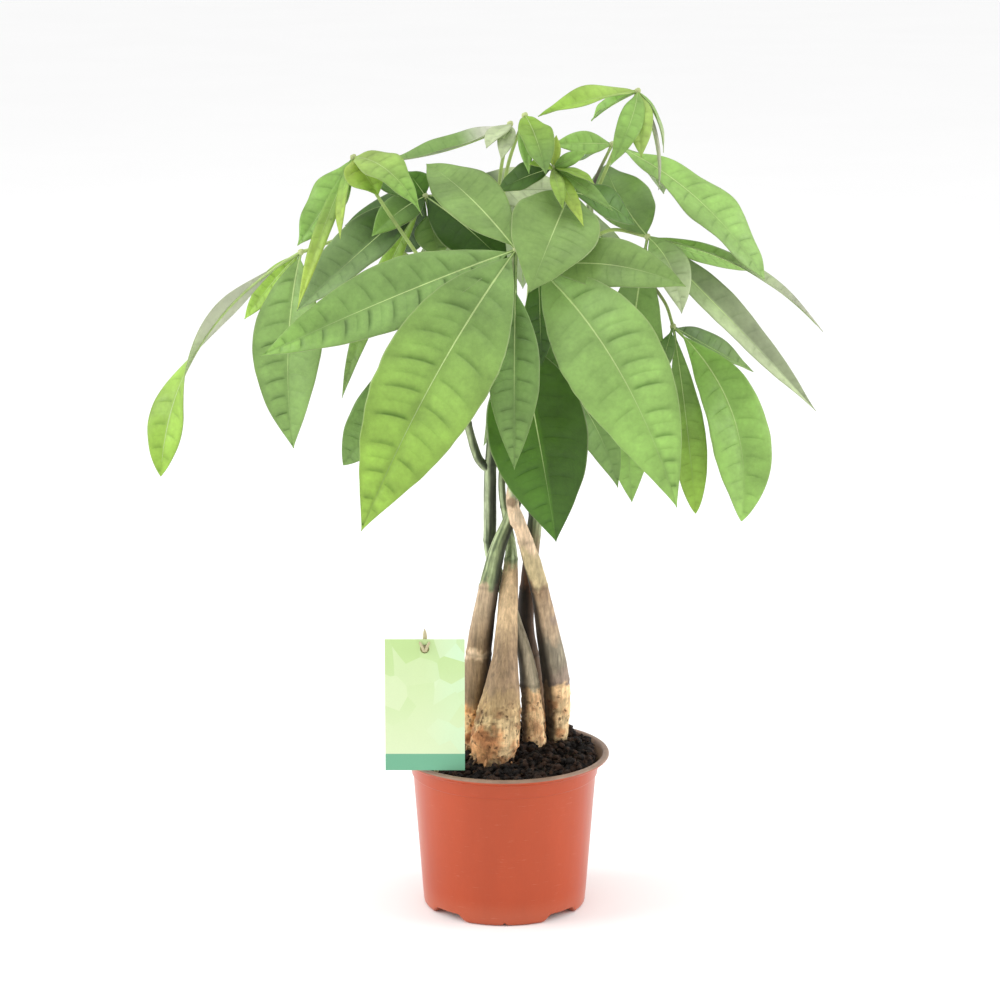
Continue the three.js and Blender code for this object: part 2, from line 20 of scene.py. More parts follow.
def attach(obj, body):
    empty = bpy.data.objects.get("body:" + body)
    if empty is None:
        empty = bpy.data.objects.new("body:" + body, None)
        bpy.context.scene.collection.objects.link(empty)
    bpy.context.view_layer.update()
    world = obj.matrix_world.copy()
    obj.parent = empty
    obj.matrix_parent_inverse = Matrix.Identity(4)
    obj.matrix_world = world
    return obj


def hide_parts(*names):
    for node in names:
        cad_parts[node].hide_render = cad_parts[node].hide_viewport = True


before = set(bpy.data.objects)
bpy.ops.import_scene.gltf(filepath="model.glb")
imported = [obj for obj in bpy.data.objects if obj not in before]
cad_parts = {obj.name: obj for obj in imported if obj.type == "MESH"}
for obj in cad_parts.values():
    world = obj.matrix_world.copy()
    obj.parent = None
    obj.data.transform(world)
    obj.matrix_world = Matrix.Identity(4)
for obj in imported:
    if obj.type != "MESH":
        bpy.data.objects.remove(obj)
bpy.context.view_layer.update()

log = logging.getLogger("money_tree")

MM = 0.001
BODY = "root"
UP = Vector((0, 0, 1))
Point = tuple[float, float, float]
Station = tuple[float, float, float, float]
Socket = bpy.types.NodeSocket
Tree = bpy.types.NodeTree
Material = bpy.types.Material
Piece = bpy.types.Object
Vert = bmesh.types.BMVert


# ---------------------------------------------------------------- sums


def mix(low: float, high: float, share: float) -> float:
    """Returns the value that lies a share of the way from low to high."""
    return low + (high - low) * share


def ramp(start: float, end: float, value: float) -> float:
    """Returns a smooth step from 0 at start to 1 at end."""
    share = min(max((value - start) / (end - start), 0.0), 1.0)
    return share * share * (3 - 2 * share)


def paint(code: int) -> Vector:
    """Turns a screen colour into the linear colour that a shader reads.

    Args:
        code: the colour as 0xRRGGBB.

    Returns:
        Red, green and blue, from 0 to 1.
    """
    parts = [((code >> shift) & 255) / 255 for shift in (16, 8, 0)]
    return Vector([p / 12.92 if p <= 0.04045 else ((p + 0.055) / 1.055) ** 2.4 for p in parts])


def rgba(colour: Vector) -> tuple[float, float, float, float]:
    """Returns a colour with full alpha."""
    return (colour[0], colour[1], colour[2], 1.0)


def rough(place: Vector, size: float) -> float:
    """Returns smooth noise from -1 to 1, with features of about size millimetres."""
    return noise.noise(place / size)


@dataclass(frozen=True)
class Ring:
    """One cross-section of a rod: its middle, radius and directions."""

    centre: Vector
    radius: float
    tangent: Vector
    side: Vector
    other: Vector


@dataclass(frozen=True)
class Route:
    """A smooth curve through stations of x, y, z and radius, in millimetres."""

    stations: tuple[Station, ...]

    NEAR = 0.002  # the share of it over which its direction is taken

    def _around(self, share: float) -> tuple[list[Vector], float]:
        """Returns the four points that shape a span of the route, and the share of that span."""
        points = [Vector(s[:3]) for s in self.stations]
        last = len(points) - 1
        along = share * last
        span = min(int(along), last - 1)
        before = points[span - 1] if span > 0 else points[0] * 2 - points[1]
        after = points[span + 2] if span + 2 <= last else points[last] * 2 - points[last - 1]
        return [before, points[span], points[span + 1], after], along - span

    def at(self, share: float) -> Vector:
        """Returns the point at a share of the route, on a centripetal Catmull-Rom curve."""
        (p0, p1, p2, p3), t = self._around(share)
        d0, d1, d2 = ((b - a).length ** 0.5 for a, b in ((p0, p1), (p1, p2), (p2, p3)))
        start = ((p1 - p0) / d0 - (p2 - p0) / (d0 + d1) + (p2 - p1) / d1) * d1
        end = ((p2 - p1) / d1 - (p3 - p1) / (d1 + d2) + (p3 - p2) / d2) * d1
        cubic = 2 * p1 - 2 * p2 + start + end
        square = -3 * p1 + 3 * p2 - 2 * start - end
        return p1 + start * t + square * t * t + cubic * t**3

    def radius(self, share: float) -> float:
        """Returns the radius at a share of the route."""
        last = len(self.stations) - 1
        span = min(int(share * last), last - 1)
        return mix(self.stations[span][3], self.stations[span + 1][3], share * last - span)

    def rings(self, steps: int) -> list[Ring]:
        """Returns the cross-sections of a rod in equal steps, with no twist between them."""
        side = Vector((0, 1, 0))
        found = []
        for i in range(steps + 1):
            share = i / steps
            low, high = max(share - self.NEAR, 0), min(share + self.NEAR, 1)
            tangent = (self.at(high) - self.at(low)).normalized()
            side = (side - tangent * side.dot(tangent)).normalized()
            found.append(Ring(self.at(share), self.radius(share), tangent, side, tangent.cross(side)))
        return found

    def length(self) -> float:
        """Returns the route's length in millimetres, station to station."""
        points = [Vector(s[:3]) for s in self.stations]
        return sum((b - a).length for a, b in zip(points, points[1:]))


# ---------------------------------------------------------------- wiring of materials

Value = float | tuple | Vector | Socket  # what an input of a node can read


class Wiring:
    """Adds nodes to a node tree and wires them in one call each."""

    def __init__(self, tree: Tree) -> None:
        """Starts on an empty tree."""
        self.tree = tree
        tree.nodes.clear()

    def _fill(self, node: bpy.types.Node, inputs: dict[str | int, Value]) -> None:
        """Sets or links a node's inputs."""
        for name, value in inputs.items():
            socket = node.inputs[name]
            if isinstance(value, Socket):
                self.tree.links.new(value, socket)
            elif isinstance(value, (int, float)):
                socket.default_value = value
            else:
                socket.default_value = (*value, 1.0) if socket.type == "RGBA" and len(value) == 3 else value

    def add(self, kind: str, inputs: dict[str | int, Value], output: str | int = 0, **settings) -> Socket:
        """Adds a node.

        Args:
            kind: the node's type, without ShaderNode.
            inputs: what each input reads, a number, colour or another node's output.
            output: the output to give back.
            **settings: the node's own settings.

        Returns:
            The named output.
        """
        node = self.tree.nodes.new("ShaderNode" + kind)
        for name, value in settings.items():
            setattr(node, name, value)
        self._fill(node, inputs)
        return node.outputs[output]

    def maths(self, operation: str, *values: Value) -> Socket:
        """Adds a Math node."""
        return self.add("Math", dict(enumerate(values)), operation=operation)

    def plus(self, first: Value, second: Value) -> Socket:
        """Adds two values."""
        return self.maths("ADD", first, second)

    def minus(self, first: Value, second: Value) -> Socket:
        """Takes the second value from the first."""
        return self.maths("SUBTRACT", first, second)

    def times(self, first: Value, second: Value) -> Socket:
        """Multiplies two values."""
        return self.maths("MULTIPLY", first, second)

    def step(self, value: Value, start: float, end: float, low: float = 0.0, high: float = 1.0) -> Socket:
        """Adds a smooth step of value from low at start to high at end."""
        inputs = {"Value": value, "From Min": start, "From Max": end, "To Min": low, "To Max": high}
        return self.add("MapRange", inputs, interpolation_type="SMOOTHSTEP")

    def blend(self, share: Value, first: Value, second: Value, blend_type: str = "MIX") -> Socket:
        """Adds a colour mix from first to second."""
        inputs = {"Factor": share, 6: first, 7: second}
        return self.add("Mix", inputs, 2, data_type="RGBA", blend_type=blend_type)

    def axis(self, vector: Value, name: str) -> Socket:
        """Takes one axis of a vector or one part of a colour, by the name X, Y or Z."""
        return self.add("SeparateXYZ", {0: vector}, name)

    def attribute(self, name: str, output: str = "Fac") -> Socket:
        """Reads one of the piece's own attributes."""
        return self.add("Attribute", {}, output, attribute_name=name)

    def place(self, scale: Point = (1, 1, 1)) -> Socket:
        """Reads the place on the piece, stretched by scale."""
        spot = self.add("TexCoord", {}, "Object")
        return self.add("Mapping", {"Vector": spot, "Scale": scale})

    def noise(self, place: Value, scale: float, detail: float = 3.0, roughness: float = 0.55) -> Socket:
        """Adds noise from about 0.3 to 0.7, with scale features to the metre."""
        inputs = {"Vector": place, "Scale": scale, "Detail": detail, "Roughness": roughness}
        return self.add("TexNoise", inputs, "Fac")

    def uneven(
        self, place: Value, scale: float, low: float, high: float, span: tuple[float, float] = (0.35, 0.65)
    ) -> Socket:
        """Adds a value that wanders from low to high, as the noise crosses span."""
        return self.step(self.noise(place, scale), *span, low, high)

    def bump(self, height: Value, depth: float, strength: float = 1.0) -> Socket:
        """Adds relief, depth being in millimetres."""
        return self.add("Bump", {"Height": height, "Distance": depth * MM, "Strength": strength})

    def skin(self, colour: Value, roughness: Value, bump: Value, specular: float = 0.5) -> Socket:
        """Adds a Principled shader."""
        inputs = {"Base Color": colour, "Roughness": roughness, "Normal": bump}
        return self.add("BsdfPrincipled", {**inputs, "Specular IOR Level": specular})

    def group(self, tree: Tree, inputs: dict[str, Value], output: str) -> Socket:
        """Places a node group."""
        node = self.tree.nodes.new("ShaderNodeGroup")
        node.node_tree = tree
        self._fill(node, inputs)
        return node.outputs[output]

    def close(self, shader: Socket) -> None:
        """Makes a shader the material's surface."""
        self.tree.links.new(shader, self.tree.nodes.new("ShaderNodeOutputMaterial").inputs["Surface"])


def start_group(
    name: str, inputs: dict[str, str], outputs: dict[str, str]
) -> tuple[Wiring, dict[str, Socket], Callable]:
    """Starts a node group.

    Args:
        name: the group's name.
        inputs: each input's name and kind, Float, Color or Vector.
        outputs: each output's name and kind.

    Returns:
        The wiring, the group's inputs by name, and a function that wires an output.
    """
    tree = bpy.data.node_groups.new(name, "ShaderNodeTree")
    for names, way in ((inputs, "INPUT"), (outputs, "OUTPUT")):
        for socket, kind in names.items():
            tree.interface.new_socket(socket, in_out=way, socket_type="NodeSocket" + kind)
    wiring = Wiring(tree)
    start, end = tree.nodes.new("NodeGroupInput"), tree.nodes.new("NodeGroupOutput")
    sockets = {socket: start.outputs[socket] for socket in inputs}
    return wiring, sockets, lambda socket, value: tree.links.new(value, end.inputs[socket])


def mottle_group() -> Tree:
    """Makes the group that lightens and darkens a colour in soft patches."""
    kinds = {"Color": "Color", "Place": "Vector", "Scale": "Float", "Amount": "Float"}
    wiring, given, put = start_group("mottle", kinds, {"Color": "Color"})
    inputs = {"Vector": given["Place"], "Scale": given["Scale"], "Detail": 4.0, "Roughness": 0.6}
    patches = wiring.add("TexNoise", inputs, "Fac")
    swing = wiring.times(wiring.minus(patches, 0.5), given["Amount"])
    level = wiring.plus(wiring.times(swing, 2.0), 1.0)
    put("Color", wiring.add("VectorMath", {0: given["Color"], "Scale": level}, "Vector", operation="SCALE"))
    return wiring.tree


def vein_group() -> Tree:
    """Makes the group that turns a blade's vein coordinates into the crease along each side vein."""
    kinds = {"Veins": "Vector", "Width": "Float"}
    wiring, given, put = start_group("side_veins", kinds, {"Crease": "Float", "Across": "Float"})
    count, across = wiring.axis(given["Veins"], "X"), wiring.axis(given["Veins"], "Y")
    share = wiring.maths("FRACT", count)
    sharp = wiring.maths("DIVIDE", share, given["Width"])
    wide = wiring.times(given["Width"], 3.2)
    soft = wiring.maths("DIVIDE", wiring.minus(1.0, share), wide)
    near = wiring.maths("MINIMUM", wiring.maths("MINIMUM", sharp, soft), 1.0)
    line = wiring.maths("POWER", wiring.minus(1.0, near), 1.5)
    outwards, inwards = wiring.step(across, 0.02, 0.18), wiring.step(across, 0.5, 0.88, 1.0, 0.0)
    put("Crease", wiring.times(line, wiring.times(outwards, inwards)))
    put("Across", across)
    return wiring.tree


def pore_group() -> Tree:
    """Makes the group of small dark pits, as in cork."""
    kinds = {"Place": "Vector", "Scale": "Float", "Size": "Float"}
    wiring, given, put = start_group("pores", kinds, {"Pit": "Float"})
    scattered = {"Vector": given["Place"], "Scale": given["Scale"], "Detail": 2.0}
    jitter = wiring.add("TexNoise", scattered, "Color")
    moved = wiring.add("VectorMath", {0: jitter, "Scale": 0.004}, "Vector", operation="SCALE")
    spot = wiring.add("VectorMath", {0: given["Place"], 1: moved}, "Vector", operation="ADD")
    cells = wiring.add("TexVoronoi", {"Vector": spot, "Scale": given["Scale"]}, "Distance")
    depth = wiring.minus(1.0, wiring.maths("DIVIDE", cells, given["Size"]))
    put("Pit", wiring.maths("MAXIMUM", depth, 0.0))
    return wiring.tree


@dataclass
class Effects:
    """The shader groups that several finishes share."""

    mottle: Tree = field(default_factory=mottle_group)
    veins: Tree = field(default_factory=vein_group)
    pores: Tree = field(default_factory=pore_group)

    def mottled(
        self, wiring: Wiring, colour: Value, place: Value, scale: float, amount: float
    ) -> Socket:
        """Lightens and darkens a colour in soft patches, scale of them to the metre."""
        inputs = {"Color": colour, "Place": place, "Scale": scale, "Amount": amount}
        return wiring.group(self.mottle, inputs, "Color")

    def pitted(self, wiring: Wiring, place: Value, scale: float, size: float) -> Socket:
        """Gives the depth of small pits, scale of them to the metre."""
        return wiring.group(self.pores, {"Place": place, "Scale": scale, "Size": size}, "Pit")


@dataclass(frozen=True)
class Finish:
    """What a piece wears. Each kind wires its own shader."""

    name: str

    def wire(self, wiring: Wiring, effects: Effects) -> Socket:
        """Wires the shader.

        Args:
            wiring: the material's node tree.
            effects: the shader groups.

        Returns:
            The shader.
        """
        raise NotImplementedError

    def material(self, effects: Effects) -> Material:
        """Makes the material."""
        material = bpy.data.materials.new(self.name)
        material.use_nodes = True
        wiring = Wiring(material.node_tree)
        wiring.close(self.wire(wiring, effects))
        return material


@dataclass(frozen=True)
class LeafFinish(Finish):
    """A leaf's skin: satin, creased along its side veins with painted shade in the creases, paler below."""

    gloss: float
    crease: float  # how dark the painted shade in the side veins' creases is
    relief: float  # how deep they are, in millimetres
    glow: float  # how far light passes through
    below: int = 0xBEC6A8
    edge: int = 0xAFBE84

    SOFT, FINE = (46.0, 0.52), (420.0, 0.16)  # patches to the metre, and how strong they are
    VEIN_WIDTH = 0.13  # the share of a vein's spacing that its crease takes
    CREASE_SHADE = (0.36, 0.46, 0.26)  # painted shade: what the shade in a crease leaves of the colour
    NET_CELLS, NET_DEPTH = 520.0, 0.07  # the finest veins, to the metre, and how deep they are

    def wire(self, wiring: Wiring, effects: Effects) -> Socket:
        """Wires the shader."""
        place = wiring.place()
        tint = wiring.attribute("tint", "Color")
        blade = wiring.attribute("blade")
        under = wiring.attribute("under")
        veins = {"Veins": wiring.add("UVMap", {}, uv_map="veins"), "Width": self.VEIN_WIDTH}
        crease = wiring.times(wiring.group(effects.veins, veins, "Crease"), blade)
        across = wiring.group(effects.veins, veins, "Across")
        soft = effects.mottled(wiring, tint, place, *self.SOFT)
        fine = effects.mottled(wiring, soft, place, *self.FINE)
        # painted shade: the side veins' creases are painted darker
        dark = wiring.blend(1.0, fine, self.CREASE_SHADE, "MULTIPLY")
        crease_shaded = wiring.blend(wiring.times(crease, self.crease), fine, dark)
        pale = wiring.blend(0.55, fine, paint(self.below))
        sided = wiring.blend(under, crease_shaded, pale)
        edge = wiring.times(wiring.step(across, 0.965, 1.0), 0.5)
        colour = wiring.blend(edge, sided, paint(self.edge))
        cells = {"Vector": place, "Scale": self.NET_CELLS}
        walls = wiring.add("TexVoronoi", cells, "Distance", feature="DISTANCE_TO_EDGE")
        net = wiring.times(wiring.step(walls, 0.0, 0.14), self.NET_DEPTH)
        bump = wiring.bump(wiring.minus(net, crease), self.relief, 0.8)
        dull = wiring.uneven(place, 160.0, self.gloss - 0.06, self.gloss + 0.1, (0.3, 0.7))
        roughness = wiring.plus(dull, wiring.times(under, 0.2))
        skin = wiring.skin(colour, roughness, bump, 0.42)
        through = wiring.add("BsdfTranslucent", {"Color": colour, "Normal": bump})
        return wiring.add("MixShader", {0: self.glow, 1: skin, 2: through})


@dataclass(frozen=True)
class BarkFinish(Finish):
    """Bark: the trunk's own bands of colour, with long streaks, and corky with dark pits at the foot."""

    name: str = "bark"
    pit: int = 0x3A2414

    SOFT, STREAKS = (130.0, 0.55), (700.0, 0.75)  # patches to the metre, and how strong they are
    PITS, SPECKS = (330.0, 0.46), (500.0, 0.22)  # pits to the metre, and how wide they are
    RELIEF = (0.7, 0.9)  # millimetres deep, and how strong
    ROUGHNESS = (0.62, 0.9)  # of the plain bark, and of the cork

    def wire(self, wiring: Wiring, effects: Effects) -> Socket:
        """Wires the shader."""
        place, long = wiring.place(), wiring.place((1, 1, 0.14))
        tint, cork = wiring.attribute("tint", "Color"), wiring.attribute("cork")
        soft = effects.mottled(wiring, tint, place, *self.SOFT)
        streaked = effects.mottled(wiring, soft, long, *self.STREAKS)
        pits = effects.pitted(wiring, place, *self.PITS)
        patches = wiring.step(wiring.noise(place, 190.0), 0.46, 0.62)
        pitted = wiring.times(wiring.times(pits, cork), patches)
        specks = effects.pitted(wiring, long, *self.SPECKS)
        marks = wiring.plus(wiring.times(pitted, 2.2), wiring.times(specks, 0.5))
        colour = wiring.blend(wiring.maths("MINIMUM", marks, 0.7), streaked, paint(self.pit))
        grain = wiring.times(wiring.noise(long, 900.0, 5.0, 0.65), 0.5)
        crust = wiring.times(wiring.noise(place, 480.0, 5.0, 0.7), wiring.times(cork, 1.6))
        height = wiring.minus(wiring.plus(grain, crust), wiring.times(marks, 0.6))
        bump = wiring.bump(height, *self.RELIEF)
        roughness = wiring.step(cork, 0.0, 1.0, *self.ROUGHNESS)
        return wiring.skin(colour, roughness, bump, 0.35)


@dataclass(frozen=True)
class PotFinish(Finish):
    """Thin moulded plastic, terracotta outside and grey-brown on the lip and inside."""

    name: str = "terracotta_plastic"
    outside: int = 0xAE4623
    lining: int = 0x8C7260
    dust: int = 0xD9A184

    SHELL, FINE, INNER = (34.0, 0.16), (900.0, 0.05), (160.0, 0.5)  # patches, as for the bark
    RELIEF = (0.35, 0.5)
    SMOOTH, SCUFFED = 0.3, 0.44  # how rough it is
    DUSTY = 0.16  # how much the dust covers

    def wire(self, wiring: Wiring, effects: Effects) -> Socket:
        """Wires the shader."""
        place, flow = wiring.place(), wiring.place((1, 1, 0.3))
        lining = wiring.attribute("lining")
        height = wiring.axis(place, "Z")
        shell = effects.mottled(wiring, paint(self.outside), flow, *self.SHELL)
        fine = effects.mottled(wiring, shell, flow, *self.FINE)
        scuffs = wiring.step(wiring.noise(wiring.place((0.35, 0.35, 3)), 260.0, 5.0, 0.7), 0.6, 0.72)
        low = wiring.step(height, 0.004, 0.016, 1.0, 0.0)
        wear = wiring.times(wiring.plus(scuffs, wiring.times(low, 0.6)), self.DUSTY)
        dusty = wiring.blend(wear, fine, paint(self.dust))
        inner = effects.mottled(wiring, paint(self.lining), place, *self.INNER)
        colour = wiring.blend(lining, dusty, inner)
        waves = wiring.plus(wiring.noise(flow, 60.0, 2.0), wiring.times(wiring.noise(place, 1500.0), 0.05))
        bump = wiring.bump(waves, *self.RELIEF)
        dull = wiring.step(scuffs, 0.0, 1.0, self.SMOOTH, self.SCUFFED)
        roughness = wiring.plus(dull, wiring.times(lining, 0.15))
        return wiring.skin(colour, roughness, bump, 0.36)


@dataclass(frozen=True)
class SoilFinish(Finish):
    """Moist potting mix, nearly black, with browner crumbs."""

    name: str = "potting_mix"
    dark: int = 0x100A07
    crumb: int = 0x38261B

    CLODS, PATCHES = 300.0, (900.0, 0.9)
    GRAIN, DEPTH = (1400.0, 5.0, 0.7), 0.5

    def wire(self, wiring: Wiring, effects: Effects) -> Socket:
        """Wires the shader."""
        place = wiring.place()
        cells = wiring.add("TexVoronoi", {"Vector": place, "Scale": self.CLODS}, "Color")
        luck = wiring.axis(cells, "X")
        brown = wiring.blend(wiring.step(luck, 0.35, 1.0), paint(self.dark), paint(self.crumb))
        colour = effects.mottled(wiring, brown, place, *self.PATCHES)
        bump = wiring.bump(wiring.noise(place, *self.GRAIN), self.DEPTH)
        return wiring.skin(colour, wiring.uneven(place, 350.0, 0.6, 0.95), bump, 0.25)


@dataclass(frozen=True)
class CardFinish(Finish):
    """Smooth card, pale green in faint facets over a plain darker band along its foot."""

    name: str = "label_card_print"
    foot: float = 91.8  # where the card's lower edge hangs, in millimetres
    height: float = 75.5
    band: float = 9.6
    pale: int = 0xD2E1B6
    light: int = 0xB8D48E
    cool: int = 0xC4EAC6
    green: int = 0x6AAA88

    FACETS, PATCHES, RELIEF = 75.0, (1500.0, 0.04), (1.2, 0.7)
    COOL = (-0.048, -0.022)  # metres from the middle between which the left side is cooler

    def wire(self, wiring: Wiring, effects: Effects) -> Socket:
        """Wires the shader."""
        place = wiring.place()
        height = wiring.axis(place, "Z")
        left = wiring.axis(place, "X")
        top = (self.foot + self.height) * MM
        upper = wiring.step(height, top - 0.075, top)
        deep = wiring.place((1, 0.2, 1))
        cells = wiring.add("TexVoronoi", {"Vector": deep, "Scale": self.FACETS}, "Color")
        facet = wiring.axis(cells, "X")
        warm = wiring.blend(wiring.times(upper, facet), paint(self.pale), paint(self.light))
        side = wiring.times(wiring.step(left, *self.COOL), wiring.minus(1.0, facet))
        cool = wiring.blend(wiring.times(side, 0.6), warm, paint(self.cool))
        edge = (self.foot + self.band) * MM
        below = wiring.step(height, edge - 0.1 * MM, edge + 0.1 * MM, 1.0, 0.0)
        banded = wiring.blend(below, cool, paint(self.green))
        colour = effects.mottled(wiring, banded, place, *self.PATCHES)
        dents = wiring.times(wiring.noise(wiring.place((1, 1, 0.5)), 60.0, 2.0), upper)
        bump = wiring.bump(dents, *self.RELIEF)
        return wiring.skin(colour, wiring.uneven(place, 200.0, 0.34, 0.46), bump)


@dataclass(frozen=True)
class StakeFinish(Finish):
    """Cream plastic, a little yellowed."""

    name: str = "cream_plastic"
    cream: int = 0xB9AF8A

    PATCHES, RELIEF = (120.0, 0.12), (0.1, 0.4)

    def wire(self, wiring: Wiring, effects: Effects) -> Socket:
        """Wires the shader."""
        place = wiring.place()
        colour = effects.mottled(wiring, paint(self.cream), place, *self.PATCHES)
        bump = wiring.bump(wiring.noise(place, 900.0), *self.RELIEF)
        return wiring.skin(colour, wiring.uneven(place, 300.0, 0.3, 0.42), bump)


@dataclass(frozen=True)
class FloorFinish(Finish):
    """Matt white studio floor."""

    name: str = "studio_white"
    level: float = 0.95

    SWING = 0.005  # how far the level wanders

    def wire(self, wiring: Wiring, effects: Effects) -> Socket:
        """Wires the shader."""
        low, high = self.level - self.SWING, self.level + self.SWING
        soft = wiring.uneven(wiring.place(), 3.0, low, high, (0.3, 0.7))
        colour = wiring.add("CombineColor", {0: soft, 1: soft, 2: soft})
        return wiring.add("BsdfPrincipled", {"Base Color": colour, "Roughness": 0.9})


# ---------------------------------------------------------------- meshes


class Workpiece:
    """A mesh under construction, with the attributes that the finishes read."""

    def __init__(self) -> None:
        """Starts with no faces."""
        self.bm = bmesh.new()
        layers = self.bm.verts.layers
        self.tint = layers.float_color.new("tint")
        self.blade = layers.float.new("blade")
        self.under = layers.float.new("under")
        self.cork = layers.float.new("cork")
        self.lining = layers.float.new("lining")
        self.veins = self.bm.loops.layers.uv.new("veins")

    def grid(self, columns: int, rows: int) -> list[tuple[Vert, int, int]]:
        """Adds a flat grid, to be bent into shape.

        Args:
            columns: how many faces wide it is.
            rows: how many faces long it is.

        Returns:
            Each vertex with its column and row.
        """
        made = bmesh.ops.create_grid(self.bm, x_segments=columns, y_segments=rows, size=0.5)["verts"]
        return [(v, round((v.co.x + 0.5) * columns), round((v.co.y + 0.5) * rows)) for v in made]

    def rod(
        self, rings: list[Ring], sides: int, shape: Callable[[int, float, Ring], float], tint: Callable
    ) -> list[Vert]:
        """Adds a closed rod, rounded off to a point at both ends.

        Args:
            rings: its cross-sections.
            sides: how many faces go round it.
            shape: gives the radius from a ring's number, an angle and the ring.
            tint: gives the colour from a place in millimetres.

        Returns:
            Its vertices.
        """
        steps = len(rings) - 1
        cells = self.grid(sides, steps)
        for v, column, row in cells:
            ring, angle = rings[row], 2 * math.pi * column / sides
            ends = 0.0 if row in (0, steps) else 1.0
            radius = shape(row, angle, ring) * ends
            aside, over = math.cos(angle) * radius, math.sin(angle) * radius
            place = ring.centre + ring.side * aside + ring.other * over
            v.co = place * MM
            v[self.tint] = rgba(tint(place))
        verts = [v for v, _, _ in cells]
        bmesh.ops.remove_doubles(self.bm, verts=verts, dist=0.002 * MM)
        return [v for v in verts if v.is_valid]

    def finish(
        self, name: str, node: str, slot: str, materials: list[Material], sharp: float | None = None
    ) -> Piece:
        """Turns the mesh into a piece that stands for a solid.

        Args:
            name: the piece's name.
            node: the solid that it replaces.
            slot: a material slot's name, which is not used.
            materials: what it wears.
            sharp: the angle in degrees past which an edge is sharp, or None for none.

        Returns:
            The piece.
        """
        bmesh.ops.recalc_face_normals(self.bm, faces=self.bm.faces)
        mesh = bpy.data.meshes.new(name)
        self.bm.to_mesh(mesh)
        self.bm.free()
        for material in materials:
            mesh.materials.append(material)
        mesh.shade_smooth()
        if sharp is not None:
            mesh.set_sharp_from_angle(angle=math.radians(sharp))
        piece = bpy.data.objects.new(name, mesh)
        bpy.context.scene.collection.objects.link(piece)
        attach(piece, BODY)
        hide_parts(node)
        log.info("%s: %d faces for %s", name, len(mesh.polygons), node)
        return piece


# ---------------------------------------------------------------- leaves


class Tone(Enum):
    """Leaf colours."""

    GREEN = 0x84A65B
    MID = 0x779C53
    MUTED = 0x88A85C
    SOFT = 0x95B869
    FRESH = 0x90B95C
    SPRING = 0x9DC567
    LIME = 0xA0C552
    BUTTER = 0xB4D070
    YELLOW = 0xBCD560
    PALE = 0xC2CFA4
    # a darker green, painted as shade, for leaflets that sit in the crown's shade
    DEEP = 0x63893F
    # painted shade: the green of a leaflet in shade
    SHADY = 0x57822B
    # painted shade: the darkest green, for leaflets deep in the crown's shadow and those that fill its dark
    # gaps
    SHADOWED = 0x3C6018
    DUSK = 0x84A066
    GREY = 0xB9BCA4
    CHALK = 0xDEE0CE
    STALK = 0xB8CC80
    PURPLE = 0x67605A
    RIB = 0xC6DE92
    HUB = 0xCCD69A


